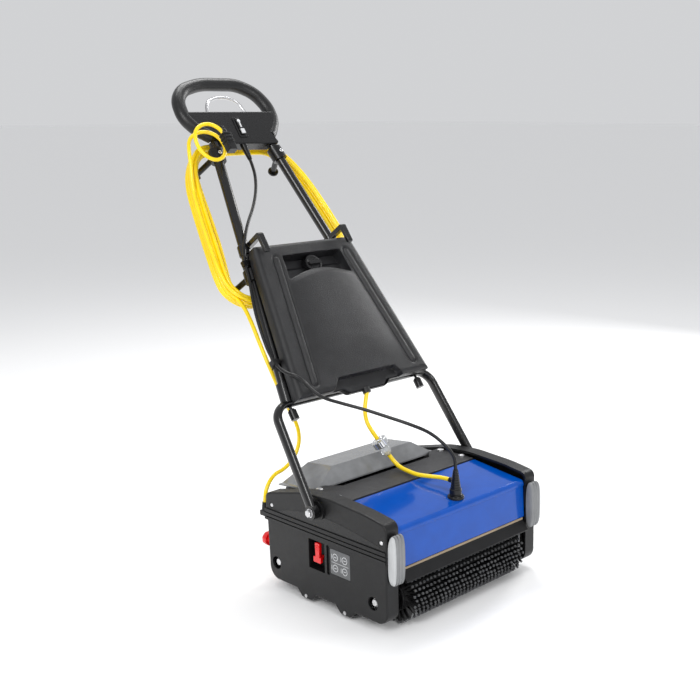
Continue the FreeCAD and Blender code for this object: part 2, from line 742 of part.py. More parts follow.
def wheel_knob():
    """The red knob at the rear left corner, on a short spindle that comes out of the back."""
    x, y, z = f"{KNOB_X}", "dims.back_edge", f"{KNOB_Z}"
    spindle = rod("knob_spindle", "y", (x, f"{y} - 14", z), "5", "36")
    collar = rod("knob_collar", "y", (x, f"{y} + 2", z), "10", "19")
    grip = rod("knob_grip", "y", (x, f"{y} + 20", z), "15", "13")
    crown = cone("knob_crown", "y", (x, f"{y} + 33", z), "15", "8", "8")
    return fuse("wheel_knob_part", spindle, collar, grip, crown)


def spray_bar():
    """A perforated pipe that wets the front brush, between the frame plates."""
    pipe = rod("spray_pipe", "x", ("-178", "-82", "120"), "5", "356")
    bore = rod("spray_pipe_bore", "x", ("-176", "-82", "120"), "3.5", "352")
    return cut("spray_bar_part", pipe, bore)


# ---------------------------------------------------------------- head: recovery tank

TANK_FRONT_Y = 93.0
TANK_HALF = 172.0


def recovery_tank():
    """The dirty-water tray behind the drum, open at the top."""
    low = (f"-{TANK_HALF}", f"{TANK_FRONT_Y}", "dims.tank_floor")
    high = (f"{TANK_HALF}", "dims.lid_back_y - 16", "205")
    outer = box("tray_outer", low, high)
    inner = box(
        "tray_inner", (f"-{TANK_HALF - 3}", f"{TANK_FRONT_Y + 3}", "dims.tank_floor + 3"),
        (f"{TANK_HALF - 3}", "dims.lid_back_y - 19", "215"),
    )
    shell = cut("tray_shell", outer, inner)
    lower = lambda edge: along("x", 300)(edge) and edge.BoundBox.ZMax < 130
    return rounded("recovery_tank_part", shell, 2.0, lower)


def recovery_lid():
    """The lid: a flat rim with a raised hood, made by drawing one rectangle in to a smaller one."""
    front, back, top = dim("lid_front_y"), dim("lid_back_y"), dim("lid_height")
    rim = 222.0

    def ring(half, near, far, z_near, z_far):
        return Part.makePolygon([
            Vector(-half, near, z_near), Vector(half, near, z_near), Vector(half, far, z_far),
            Vector(-half, far, z_far), Vector(-half, near, z_near),
        ])

    def hood(inset, drop):
        lower = ring(168 - inset, front + inset, back - inset, rim, rim - 12)
        upper = ring(114 - inset, front + 16 + inset, back - 20 - inset, top - drop, top - 9 - drop)
        return Part.makeLoft([lower, upper], True, True)

    plate_low = ring(178, front, back, rim - 0, rim - 12)
    plate = Part.makeLoft([ring(178, front, back, rim - 3, rim - 15), plate_low], True, True)
    shell = plate.fuse(hood(0, 0))
    shell = shell.cut(hood(4, 3.5))
    lower_opening = Part.makeLoft([
        ring(160, front + 8, back - 6, rim - 10, rim - 25), ring(160, front + 8, back - 6, rim + 4, rim - 9),
    ], True, True)
    shell = shell.cut(lower_opening.cut(hood(0, 0)))
    return feature("recovery_lid_part", shell.removeSplitter())


def drum_scraper():
    """A rubber blade on the front of the tray that wipes the drum."""
    low = (f"-{TANK_HALF - 10}", f"{TANK_FRONT_Y - 26}", "148")
    high = (f"{TANK_HALF - 10}", f"{TANK_FRONT_Y}", "153")
    return box("scraper_blade", low, high)


# ---------------------------------------------------------------- head: fittings

CONNECTOR = Vector(6.0, -147.0, 210.5)
HOSE_INLET = Vector(26.0, -112.0, 236.0)   # the mouth of the elbow's tail
GLAND = Vector(-211.0, 193.0, 178.0)       # the mouth of the cord gland


def lead_connector():
    """The round plug of the switch lead on the motor cover, with a long tapered strain relief."""
    x, y, z = (f"{value}" for value in CONNECTOR)
    base = rod("connector_base", "z", (x, y, z), "17", "6")
    barrel = rod("connector_barrel", "z", (x, y, f"{z} + 6"), "12", "14")
    relief = cone("connector_relief", "z", (x, y, f"{z} + 20"), "10.5", "5", "38")
    screw = rod("connector_screw", "y", (x, f"{y} - 17", f"{z} + 13"), "4", "8")
    joined = fuse("connector_body", base, barrel, relief, screw)
    bore = rod("connector_bore", "z", (x, y, f"{z} + 50"), "dims.lead_radius", "20")
    return cut("lead_connector_part", joined, bore)


def hose_inlet():
    """An elbow on the motor cover whose tail points back at the hose."""
    x, y, z = (f"{value}" for value in HOSE_INLET)
    foot = rod("inlet_foot", "z", (x, f"{y} - 16", "212"), "9", "6")
    stem = rod("inlet_stem", "z", (x, f"{y} - 16", "214"), "6.5", f"{HOSE_INLET.z} + 6.5 - 214")
    tail = rod("inlet_tail", "y", (x, f"{y} - 16", z), "5.6", "16")
    joined = fuse("hose_inlet_body", foot, stem, tail)
    bore = rod("inlet_bore", "y", (x, f"{y} - 6", z), "dims.hose_radius", "20")
    return cut("hose_inlet_part", joined, bore)


def mains_gland():
    """The cord gland on the back of the left cap: it points up."""
    x, y, z = (f"{value}" for value in GLAND)
    low, high = (f"{x} - 8", "dims.cap_back", f"{z} - 28"), (f"{x} + 8", f"{y} + 8", f"{z} - 18")
    block = box("gland_block", low, high)
    relief = cone("gland_relief", "z", (x, y, f"{z} - 20"), "7.5", "5.6", "20")
    joined = fuse("gland_body", block, relief)
    bore = rod("gland_bore", "z", (x, y, f"{z} - {NIP}"), "dims.cord_radius", "20")
    return cut("mains_gland_part", joined, bore)


def cover_screws():
    """Pan-head screws of the deck strip and the side caps."""
    screws = []
    for side, sign in SIDES.items():
        for i, (x, y) in enumerate(((180, -4), (177, 58))):
            at = (f"{sign * x}", f"{y}", "dims.cover_back_z + 3")
            screws.append(rod(f"deck_screw_{side}_{i}", "z", at, "6", "3"))
        for i, (y, z) in enumerate(((160, 181), (-166, 187))):
            start = "dims.body_width / 2 - 2" if sign > 0 else "-dims.body_width / 2"
            screws.append(rod(f"cap_screw_{side}_{i}", "x", (start, f"{y}", f"{z}"), "4.5", "2"))
    return compound("cover_screws_part", *screws)


def pivot_bolts():
    """Shoulder bolts that hold the yoke's arms to the side caps, heads outside."""
    bolts = []
    for side, sign in SIDES.items():
        inner = dim("body_width") / 2 - 7
        start = inner if sign > 0 else -inner - 35
        shank = rod(f"pivot_shank_{side}", "x", (f"{start}", "dims.pivot_y", "dims.pivot_z"), "6", "35")
        head_start = inner + 29 if sign > 0 else -inner - 29 - 6
        head = rod(f"pivot_head_{side}", "x", (f"{head_start}", "dims.pivot_y", "dims.pivot_z"), "9", "6")
        bolts.append(fuse(f"pivot_bolt_{side}", shank, head))
    return compound("pivot_bolts_part", *bolts)


# ---------------------------------------------------------------- handle

TANK_FACE = -54.0        # front face of the solution tank, from the plane of the tubes
TANK_BACK = -18.0
OUTLET = Vector(0.0, -34.0, 203.0)


def tube_x(height):
    """How far a handle tube's axis is from the middle at a height above the pivot."""
    low, high = dim("yoke_height"), dim("tube_head_z")
    part = (height - low) / (high - low)
    return dim("tube_foot_x") + part * (dim("tube_head_x") - dim("tube_foot_x"))


def tube_direction(sign):
    foot = Vector(sign * tube_x(dim("yoke_height")), 0, dim("yoke_height"))
    head = Vector(sign * tube_x(dim("tube_head_z")), 0, dim("tube_head_z"))
    return foot, (head - foot).normalize(), (head - foot).Length


def yoke():
    """The lower frame: two oval arms and a crosspiece in one bent tube, with a socket for each tube."""
    height = dim("yoke_height")
    points = [
        Vector(-dim("arm_x"), 0, 4), Vector(-dim("arm_top_x"), 0, height),
        Vector(dim("arm_top_x"), 0, height), Vector(dim("arm_x"), 0, 4),
    ]
    path, _ = route(points, lambda run, turn: dim("yoke_bend"))
    start = points[0]
    direction = (points[1] - points[0]).normalize()
    oval = Part.Ellipse(Vector(), 12.5, 8.0).toShape()
    section = Part.Wire([oval])
    side_axis = Vector(0, 1, 0)
    flat_axis = side_axis.cross(direction)
    turn = Rotation(side_axis, flat_axis * -1, direction, "ZXY")
    section.Placement = Placement(start, turn)
    shape = path.makePipeShell([section], True, False)
    for sign in SIDES.values():
        eye = Part.makeCylinder(14.5, 15, Vector(sign * dim("arm_x") - 7.5, 0, 0), Vector(1, 0, 0))
        shape = shape.fuse(eye)
        foot, up, _ = tube_direction(sign)
        shape = shape.fuse(Part.makeCylinder(15.5, 44, foot, up))
    for sign in SIDES.values():
        bore, side = 6 + dim("running_gap"), sign * dim("arm_x") - 15
        hole = Part.makeCylinder(bore, 30, Vector(side, 0, 0), Vector(1, 0, 0))
        foot, up, length = tube_direction(sign)
        socket = Part.makeCylinder(dim("tube_radius") + 0.05, length, foot + up * 14, up)
        stud = Part.makeCylinder(3.1, 24, Vector(sign * dim("tube_foot_x"), 0, height - 16), Vector(0, 0, 1))
        shape = shape.cut(hole).cut(socket).cut(stud)
    return feature("yoke_part", shape)


def handle_tube(side):
    foot, up, length = tube_direction(SIDES[side])
    outer = Part.makeCylinder(dim("tube_radius"), length - 34, foot + up * 15, up)
    bore = Part.makeCylinder(dim("tube_radius") - 1.6, length - 34, foot + up * 15, up)
    return feature(f"tube_{side}_part", outer.cut(bore))


def clamp_knob(side):
    """A lobed hand knob under the crosspiece, on a stud that locks the tube in its socket."""
    x = SIDES[side] * dim("tube_foot_x")
    stud = rod(f"stud_{side}", "z", (f"{x}", "0", "dims.yoke_height - 24"), "3", "30")
    grip = rod(f"knob_{side}", "z", (f"{x}", "0", "dims.yoke_height - 36"), "9", "20")
    flange = rod(f"knob_flange_{side}", "z", (f"{x}", "0", "dims.yoke_height - 18"), "6.5", "5")
    return fuse(f"clamp_knob_{side}_part", stud, grip, flange)


def solution_tank():
    """The clean-water tank in front of the tubes: it narrows upwards and has a recess for its cap."""
    owner = body("solution_tank")
    shape = outline(
        (-187, 217, 10), (-60, 214, 6), (-48, 206, 6), (48, 206, 6), (60, 214, 6), (187, 217, 10),
        (135, 566, 16), (-135, 566, 16),
    )
    pad(owner, sketch(owner, "xz", f"-({TANK_BACK})", shape), f"{TANK_BACK - TANK_FACE}")
    recess = outline((-76, 486, 6), (84, 486, 6), (80, 533, 6), (-72, 533, 6))
    pocket(owner, sketch(owner, "xz", f"-({TANK_FACE})", recess), "22")
    notch = outline((-98, 205), (-74, 240, 3), (88, 240, 3), (112, 205))
    pocket(owner, sketch(owner, "xz", f"-({TANK_FACE})", notch), "11")
    fillet(owner, 9.0, lambda edge: in_plane("y", TANK_FACE)(edge)
           and (abs(edge.BoundBox.Center.x) > 120 or edge.BoundBox.ZMin > 560))
    fillet(owner, 6.0, lambda edge: in_plane("y", TANK_BACK)(edge) and abs(edge.BoundBox.Center.x) > 120)
    return owner


def tank_with_hollow():
    """The tank with its water space, its filler neck and its outlet taken out of the moulded form."""
    shell = solution_tank()
    hollow = doc.addObject("Part::Feature", "tank_hollow")
    corners = [(-170, 226), (170, 226), (138, 470), (-138, 470), (-170, 226)]
    face = Part.Face(Part.makePolygon([Vector(x, TANK_FACE + 15, z) for x, z in corners]))
    hollow.Shape = face.extrude(Vector(0, TANK_BACK - TANK_FACE - 19, 0))
    neck = rod("filler_neck", "y", ("4", f"{TANK_FACE} + 18", "510"), "19", "14")
    throat = box("filler_throat", ("-60", f"{TANK_FACE} + 26", "460"), ("60", f"{TANK_BACK} - 4", "540"))
    drain = rod("drain", "z", (f"{OUTLET.x}", f"{OUTLET.y + 4}", f"{OUTLET.z - 20}"), "5", "50")
    spout = rod("spout", "z", (f"{OUTLET.x}", f"{OUTLET.y + 4}", f"{OUTLET.z - 2}"), "9", "10")
    joined = fuse("tank_with_spout", shell, spout)
    return cut("solution_tank_part", joined, hollow, throat, neck, drain)


def filler_cap():
    """The screw cap in the tank's recess: a knurled disc with a plug that fills the neck."""
    disc = rod("cap_disc", "y", ("4", f"{TANK_FACE} + 8", "510"), "21.5", "13.5")
    plug = rod("cap_plug", "y", ("4", f"{TANK_FACE} + 20", "510"), "19 - dims.running_gap", "8")
    bar = box("cap_bar", ("-12", f"{TANK_FACE} + 3", "506"), ("20", f"{TANK_FACE} + 10", "514"))
    return fuse("filler_cap_part", disc, plug, bar)


def ring_on_tube(sign, low, high, radius):
    """A collar round a handle tube between two heights."""
    foot, up, _ = tube_direction(sign)
    rise = up.z
    start = foot + up * ((low - foot.z) / rise)
    length = (high - low) / rise
    outer = Part.makeCylinder(radius, length, start, up)
    return outer.cut(Part.makeCylinder(dim("tube_radius") + 0.02, length + 20, start - up * 10, up))


def tank_hooks():
    """Two brackets clamped to the tubes, each with an arm over the tank's top corner and a lip."""
    hooks = []
    for sign in SIDES.values():
        ring = ring_on_tube(sign, 566.5, 592, 14)
        x = sign * (tube_x(580) - 6)
        arm = Part.makeBox(14, 61, 11, Vector(x - 7, -64, 578))
        lip = Part.makeBox(14, 8, 48, Vector(x - 7, -64, 541))
        bore = Part.makeCylinder(dim("tube_radius") + 0.02, 120, *tube_axis_at(sign, 520))
        hooks.append(ring.fuse(arm.cut(bore)).fuse(lip).removeSplitter())
    return feature("tank_hooks_part", Part.makeCompound(hooks))


def tube_axis_at(sign, height):
    foot, up, _ = tube_direction(sign)
    return foot + up * ((height - foot.z) / up.z), up


def cord_hooks():
    """Four collars on the tubes, each with a flanged peg behind it to hang the cord on."""
    hooks = []
    for low, high in ((802, 832), (504, 530)):
        for sign in SIDES.values():
            ring = ring_on_tube(sign, low, high, 17)
            middle = (low + high) / 2
            x = sign * tube_x(middle)
            root = Vector(x + sign * 6, 10, middle)
            away = Vector(sign * 0.35, 1, -0.12).normalize()
            peg = Part.makeCylinder(6.5, 60, root, away)
            flange = Part.makeCylinder(12, 4, root + away * 56, away)
            bore = Part.makeCylinder(dim("tube_radius") + 0.02, 120, *tube_axis_at(sign, middle - 60))
            hooks.append(ring.fuse(peg).fuse(flange).cut(bore).removeSplitter())
    return feature("cord_hooks_part", Part.makeCompound(hooks))


CLIPS = (                # heights of each clip, and its ear and neck as x and y limits
    (538, 549, ((-152, -128, -17.5, -8.5),)),
    (306, 317, ((-193, -176, -27, -12), (-180, -155, -17, -8))),
)


def cable_clips():
    """Two snap clips on the left tube, each with an ear round the switch lead."""
    clips = []
    for low, high, blocks in CLIPS:
        clip = ring_on_tube(-1, low, high, 14)
        for left, right, front, back in blocks:
            clip = clip.fuse(Part.makeBox(right - left, back - front, high - low, Vector(left, front, low)))
        bore = Part.makeCylinder(dim("tube_radius") + 0.02, 60, *tube_axis_at(-1, low - 20))
        clips.append(clip.cut(bore).removeSplitter())
    return feature("cable_clips_part", Part.makeCompound(clips))


GRIP_POINTS = (
    (-76, 868), (-104, 886), (-125, 918), (-122, 962), (-97, 992), (-45, 1009),
    (55, 1009), (98, 986), (118, 946), (115, 908), (96, 880), (84, 868),
)


def grip_loop():
    """The closed hand loop, open only where its ends run into the switch panel."""
    points = [Vector(x, 0, z) for x, z in GRIP_POINTS]
    shape, _ = tube(points, dim("grip_radius"))
    return feature("grip_loop_part", shape)


def grip_panel():
    """The switch housing across the loop, with tube sockets, a bail slot and a button recess."""
    owner = body("grip_panel")
    shape = outline(
        (-60, 841, 5), (94, 838, 5), (112, 880, 12), (97, 925, 6), (-92, 925, 6), (-112, 893, 12),
        (-98, 860, 12),
    )
    pad(owner, sketch(owner, "xz", "-16", shape), "32")
    fillet(owner, 6.0, lambda edge: in_plane("y", -16)(edge) or in_plane("y", 16)(edge))
    return owner


def grip_panel_part():
    panel = grip_panel()
    loop = doc.addObject("Part::Feature", "loop_room")
    loop.Shape = tube([Vector(x, 0, z) for x, z in GRIP_POINTS], dim("grip_radius") + 0.02)[0]
    sockets = doc.addObject("Part::Feature", "tube_room")
    rooms = []
    for sign in SIDES.values():
        foot, up, length = tube_direction(sign)
        rooms.append(Part.makeCylinder(dim("tube_radius") + 0.05, 200, foot + up * (length - 199.9), up))
    sockets.Shape = Part.makeCompound(rooms)
    slot = box("button_slot", ("-7", "-17", "860"), ("9", "-4", "906"))
    bail_room = box("bail_room", ("-66", "-10", "906"), ("54", "10", "930"))
    return cut("grip_panel_cut", panel, loop, sockets, slot, bail_room)


BAIL_POINTS = ((-58, 914), (-56, 938), (-44, 962), (-16, 973), (14, 973), (38, 962), (46, 938), (46, 914))
BAIL_HINGE_Z = 914.0


def bail():
    """The wire lever in the loop, on a cross pin inside the housing."""
    points = [Vector(x, 0, z) for x, z in BAIL_POINTS]
    wire, _ = tube(points, 3.5)
    pin = Part.makeCylinder(3.5, 110, Vector(-61, 0, BAIL_HINGE_Z), Vector(1, 0, 0))
    return feature("bail_part", wire.fuse(pin).removeSplitter())


def safety_button():
    low, high = ("-6.5", "-21", "861"), ("8.5", "-8", "905")
    block = box("button_block", low, high)
    return rounded("safety_button_part", block, 1.5, lambda edge: in_plane("y", -21)(edge))


def lead_relief():
    """The tapered strain relief under the switch housing."""
    relief = cone("relief_taper", "z", ("-4", "-6", "803"), "5", "8", "36.5")
    bore = rod("relief_bore", "z", ("-4", "-6", "800"), "dims.lead_radius", "12")
    return cut("lead_relief_part", relief, bore)


# ---------------------------------------------------------------- leads, hose and cord

SWITCH_LEAD_HANDLE = (       # in the upright handle's frame
    (-4, -6, 812), (-6, -7, 788), (-13, -9, 757), (-31, -11, 718), (-60, -13, 676), (-93, -16, 640),
    (-118, -18, 606), (-136, -17, 575), (-145, -13, 543), (-152, -15, 508), (-166, -16, 464),
    (-177, -16, 418), (-184, -17, 370), (-187, -18, 335), (-187, -24, 305), (-187, -41, 278),
    (-177, -64, 257),
)
SWITCH_LEAD_HEAD = (         # in the head's frame
    (-150, 86, 411), (-116, 48, 396), (-92, 8, 386), (-74, -30, 376), (-52, -74, 364), (-28, -111, 348),
    (-9, -134, 322), (4, -145, 299), (6, -147, 283),
)
HOSE_UPPER = (
    (-10, 101, 362), (-22, 86, 336), (-22, 69, 315),
)
FILTER_START = Vector(-12, 62, 297)
FILTER_STOP = Vector(8, 49, 260)
HOSE_LOWER = (
    (11.6, 46.6, 253.3), (15.9, 36.1, 240.7), (16, 20.8, 234.4), (11, -8, 234), (5, -40, 235),
    (14, -70, 236), (26, -94, 236),
)
CORD_STRAND = (
    (-211, 193, 193), (-198, 195, 215), (-176, 198, 227), (-150, 201, 228), (-127, 203, 237),
    (-108, 203, 255), (-98, 203, 281), (-103, 204, 312), (-122, 202, 346), (-146, 198, 378),
    (-162, 194, 408),
)
CORD_ON_HANDLE = (           # in the upright handle's frame
    (-170, 21, 298), (-172, 18, 338), (-170, 18, 382), (-166, 20, 428), (-161, 27, 466), (-168, 43, 492),
)
COIL_PLANE = 38.0            # the middle of the bundle, behind the plane of the tubes
COIL_POINTS = (              # across and up the upright handle's frame
    (-147, 475), (-178, 506), (-174, 590), (-166, 680), (-153, 765), (-133, 817), (-98, 856),
    (98, 856), (136, 820), (166, 745), (190, 620), (187, 508), (156, 477), (10, 473),
)
CORD_TAIL = (                # from the bundle once round beside the collar and into the plug
    (-165, 37, 690), (-162, 30, 735), (-158, 17, 776), (-155, 4, 803), (-152, -6, 830), (-140.5, -9, 859),
    (-113, -18, 871), (-85.5, -26, 859), (-74, -29, 830), (-85.5, -29, 801), (-113, -28, 789),
    (-140.5, -31, 801), (-152, -38, 830), (-140.5, -44, 859), (-113, -49, 871), (-84, -49, 859),
    (-78, -49, 830), (-78, -49, 816),
)
NIP = 9.0                    # how far a hose end or a cord end reaches into its fitting


def switch_lead():
    points = [from_handle(*point) for point in SWITCH_LEAD_HANDLE] + [Vector(*p) for p in SWITCH_LEAD_HEAD]
    points.append(CONNECTOR + Vector(0, 0, 50))
    return points


def solution_hose():
    """The hose in two lengths, from the tank to the strainer and from there to the elbow."""
    outlet = from_handle(OUTLET.x, OUTLET.y + 4, OUTLET.z - 2)
    upper = [outlet] + [Vector(*p) for p in HOSE_UPPER] + [FILTER_START]
    axis = (FILTER_STOP - FILTER_START).normalize()
    upper[-1] += axis * NIP
    lower = [FILTER_STOP - axis * NIP] + [Vector(*p) for p in HOSE_LOWER] + [HOSE_INLET - Vector(0, 6, 0)]
    return upper, lower


def inline_filter():
    """The clear strainer on the hose: a long body with a wide nut at its upper end."""
    axis = (FILTER_STOP - FILTER_START).normalize()
    length = FILTER_START.distanceToPoint(FILTER_STOP)
    shape = Part.makeCylinder(11, length, FILTER_START, axis)
    shape = shape.fuse(Part.makeCylinder(17, 16, FILTER_START + axis * 4, axis))
    for start, way in ((FILTER_START, axis), (FILTER_STOP, -axis)):
        shape = shape.cut(Part.makeCylinder(dim("hose_radius") + 1.2, NIP + 1, start, way))
    return feature("inline_filter_part", shape.removeSplitter())


def cord_points():
    strand = [Vector(*p) for p in CORD_STRAND] + [from_handle(*p) for p in CORD_ON_HANDLE]
    return [GLAND - Vector(0, 0, NIP)] + strand


def cord_tail():
    return [from_handle(*point) for point in CORD_TAIL]


def cord_coil():
    points = [from_handle(x, COIL_PLANE, z) for x, z in COIL_POINTS]
    shape, _ = tube(points, dim("coil_radius"), closed=True)
    return feature("cord_coil_part", shape)


def power_plug():
    """The plug, hanging in front of the left collar: a ribbed grip with a flat nose."""
    low, high = ("-90", "-61", "798"), ("-66", "-37", "846")
    block = box("plug_block", low, high)
    return rounded("power_plug_part", block, 5.0, lambda edge: edge.Length > 20)


def print_radii(name, radii, volume, radius, length):
    listed = ", ".join(f"{value:.0f}" for value in radii)
    print(f"{name}: arc radii {listed} mm; length {length:.0f} mm; "
          f"volume is {volume / (math.pi * radius ** 2 * length):.4f} of section times length")


def cord_feature(name, radius, *lengths):
    """One node for a lead, hose or cord made of one or more tubes, with its radii printed."""
    shapes = []
    for points in lengths:
        shape, radii = tube(points, radius)
        print_radii(name, radii, shape.Volume, radius, route(points, cord_arc)[0].Length)
        shapes.append(shape)
    return feature(name + "_part", shapes[0] if len(shapes) == 1 else Part.makeCompound(shapes))


# ---------------------------------------------------------------- the sub-parts

for side in SIDES:
    node("side_panel_" + side, side_panel(side))
    node("side_cap_" + side, side_cap(side))
    node("frame_plate_" + side, frame_plate(side))
    node("bumper_" + side, bumper(side))
node("motor_cover", motor_cover())
node("deck_plate", deck_plate())
node("front_skirt", skirt("front_skirt", dim("front_edge") + 2, dim("cover_base") - 0.3, -1))
node("rear_skirt", skirt("rear_skirt", dim("back_edge") + 6, dim("tank_floor") - 0.5, 1))
node("cross_beams", cross_beams())

node("drive_unit", drive_unit())
node("front_output_pulley", output_pulley("front_output", FRONT_OUTPUT, FRONT_BELT_X))
node("rear_output_pulley", output_pulley("rear_output", REAR_OUTPUT, REAR_BELT_X))
node("front_brush_core", brush_core("front_brush", "dims.front_brush_y"))
node("front_bristles", bristles("front_bristles", "dims.front_brush_y"))
front_pulleys, rear_pulleys = [(FRONT_BELT_X, FRONT_PULLEY)], [(REAR_BELT_X, REAR_PULLEY)]
node("front_axle", axle("front_axle", "dims.front_brush_y", "dims.brush_radius", front_pulleys, 212))
node("rear_brush_core", brush_core("rear_brush", "dims.rear_brush_y"))
node("rear_bristles", bristles("rear_bristles", "dims.rear_brush_y"))
node("rear_axle", axle("rear_axle", "dims.rear_brush_y", "dims.brush_radius", rear_pulleys, 212))
node("pickup_drum", drum())
node("axle_bearings", axle_bearings())
front_loop = [(dim("front_brush_y"), dim("brush_radius"), FRONT_PULLEY), (*FRONT_OUTPUT, OUTPUT_PULLEY)]
rear_loop = [
    (dim("drum_y"), dim("drum_z"), DRUM_PULLEY), (dim("rear_brush_y"), dim("brush_radius"), REAR_PULLEY),
    (*REAR_OUTPUT, OUTPUT_PULLEY),
]
node("front_belt", feature("front_belt_part", belt(front_loop, FRONT_BELT_X, BELT_WIDTH)))
node("rear_belt", feature("rear_belt_part", belt(rear_loop, REAR_BELT_X, BELT_WIDTH)))
node("front_wheels", wheel_set("front_wheels", "dims.front_wheel_y"))
node("rear_wheels", wheel_set("rear_wheels", "dims.rear_wheel_y"))
node("selector_lever", selector_lever())
node("wheel_knob", wheel_knob())
node("spray_bar", spray_bar())

node("recovery_tank", recovery_tank())
node("recovery_lid", recovery_lid())
node("drum_scraper", drum_scraper())

node("lead_connector", lead_connector())
node("hose_inlet", hose_inlet())
node("mains_gland", mains_gland())
node("cover_screws", cover_screws())
node("pivot_bolts", pivot_bolts())

node("yoke", yoke(), HANDLE)
for side in SIDES:
    node("tube_" + side, handle_tube(side), HANDLE)
    node("clamp_knob_" + side, clamp_knob(side), HANDLE)
node("solution_tank", tank_with_hollow(), HANDLE)
node("filler_cap", filler_cap(), HANDLE)
node("tank_hooks", tank_hooks(), HANDLE)
node("cord_hooks", cord_hooks(), HANDLE)
node("cable_clips", cable_clips(), HANDLE)
node("grip_loop", grip_loop(), HANDLE)
node("grip_panel", grip_panel_part(), HANDLE)
node("bail", bail(), HANDLE)
node("safety_button", safety_button(), HANDLE)
node("lead_relief", lead_relief(), HANDLE)
node("power_plug", power_plug(), HANDLE)

node("switch_lead", cord_feature("switch_lead", dim("lead_radius"), switch_lead()))
node("solution_hose", cord_feature("solution_hose", dim("hose_radius"), *solution_hose()))
node("inline_filter", inline_filter())
node("power_cord", cord_feature("power_cord", dim("cord_radius"), cord_points(), cord_tail()))
node("cord_coil", cord_coil())

# ---------------------------------------------------------------- checks and files

doc.recompute()
faults = [item.Name for item in doc.Objects if "Invalid" in item.State or "Error" in item.State]
faults += [label for label, item in NODES.items() if item.Shape.isNull() or not item.Shape.isValid()]
if faults:
    raise RuntimeError("these objects failed: " + ", ".join(faults))

os.makedirs("parts", exist_ok=True)
for label, item in NODES.items():
    item.Shape.exportStep(f"parts/{label}.step")
print(len(NODES), "sub-parts written")
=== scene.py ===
"""Looks of the walk-behind floor scrubber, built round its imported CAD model. Lengths are in mm until
a piece is placed; HEAD and HANDLE turn them into metres in the row's frame."""
import math
import random

import bmesh
import bpy
from mathutils import Matrix, Vector


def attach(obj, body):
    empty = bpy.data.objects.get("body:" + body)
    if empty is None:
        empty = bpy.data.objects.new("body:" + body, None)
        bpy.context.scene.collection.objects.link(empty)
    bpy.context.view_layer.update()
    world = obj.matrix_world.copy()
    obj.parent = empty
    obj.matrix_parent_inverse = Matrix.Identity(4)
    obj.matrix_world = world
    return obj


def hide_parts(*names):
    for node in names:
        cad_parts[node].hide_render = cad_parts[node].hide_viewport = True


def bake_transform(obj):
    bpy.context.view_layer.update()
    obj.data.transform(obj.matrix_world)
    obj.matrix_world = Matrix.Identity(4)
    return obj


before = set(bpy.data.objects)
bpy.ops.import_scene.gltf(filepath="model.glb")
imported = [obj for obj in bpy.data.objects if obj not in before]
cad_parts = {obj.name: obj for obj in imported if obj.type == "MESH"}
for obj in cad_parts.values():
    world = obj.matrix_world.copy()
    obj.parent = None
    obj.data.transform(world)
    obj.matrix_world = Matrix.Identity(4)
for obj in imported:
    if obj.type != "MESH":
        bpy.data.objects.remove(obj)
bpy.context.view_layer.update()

MM = 0.001
HEAD_Y = -207.59
LEAN = math.radians(35.3)
PIVOT = Vector((0.0, HEAD_Y + 12.0, 207.0))
HEAD = Matrix.Translation((0, HEAD_Y * MM, 0)) @ Matrix.Scale(MM, 4)
HANDLE = Matrix.Translation(PIVOT * MM) @ Matrix.Rotation(-LEAN, 4, "X") @ Matrix.Scale(MM, 4)
SIDES = (("left", -1), ("right", 1))


# ---------------------------------------------------------------- materials

def mix_colour(color, factor):
    return tuple(min(1.0, channel * factor) for channel in color) + (1.0,)


def material(name, color, roughness, metallic=0.0, coat=0.0, grain=1200.0, bump=0.2, depth=0.0003,
             mottle=0.15, stretch=None, sheen=0.0, transmission=0.0, ior=1.5, specular=0.5):
    """A shader with fine surface grain, broad mottling of its colour and uneven roughness."""
    result = bpy.data.materials.new(name)
    result.use_nodes = True
    nodes, links = result.node_tree.nodes, result.node_tree.links
    shader = nodes["Principled BSDF"]
    shader.inputs["Metallic"].default_value = metallic
    shader.inputs["Coat Weight"].default_value = coat
    shader.inputs["Coat Roughness"].default_value = 0.06
    shader.inputs["IOR"].default_value = ior
    shader.inputs["Sheen Weight"].default_value = sheen
    shader.inputs["Transmission Weight"].default_value = transmission
    shader.inputs["Specular IOR Level"].default_value = specular
    place = nodes.new("ShaderNodeTexCoord")
    mapping = nodes.new("ShaderNodeMapping")
    mapping.inputs["Scale"].default_value = stretch or (1, 1, 1)
    links.new(place.outputs["Object"], mapping.inputs["Vector"])

    def noise(scale, detail):
        texture = nodes.new("ShaderNodeTexNoise")
        texture.inputs["Scale"].default_value = scale
        texture.inputs["Detail"].default_value = detail
        links.new(mapping.outputs["Vector"], texture.inputs["Vector"])
        return texture.outputs["Fac"]

    tint = nodes.new("ShaderNodeValToRGB")
    tint.color_ramp.elements[0].position = 0.3
    tint.color_ramp.elements[0].color = mix_colour(color, 1 - mottle)
    tint.color_ramp.elements[1].position = 0.7
    tint.color_ramp.elements[1].color = mix_colour(color, 1 + mottle)
    links.new(noise(38.0, 5.0), tint.inputs["Fac"])
    links.new(tint.outputs["Color"], shader.inputs["Base Color"])
    gloss = nodes.new("ShaderNodeMapRange")
    gloss.inputs["To Min"].default_value = max(0.02, roughness * 0.8)
    gloss.inputs["To Max"].default_value = min(1.0, roughness * 1.25)
    links.new(noise(grain * 0.12, 4.0), gloss.inputs["Value"])
    links.new(gloss.outputs["Result"], shader.inputs["Roughness"])
    relief = nodes.new("ShaderNodeBump")
    relief.inputs["Strength"].default_value = bump
    relief.inputs["Distance"].default_value = depth
    links.new(noise(grain, 3.0), relief.inputs["Height"])
    links.new(relief.outputs["Normal"], shader.inputs["Normal"])
    return result


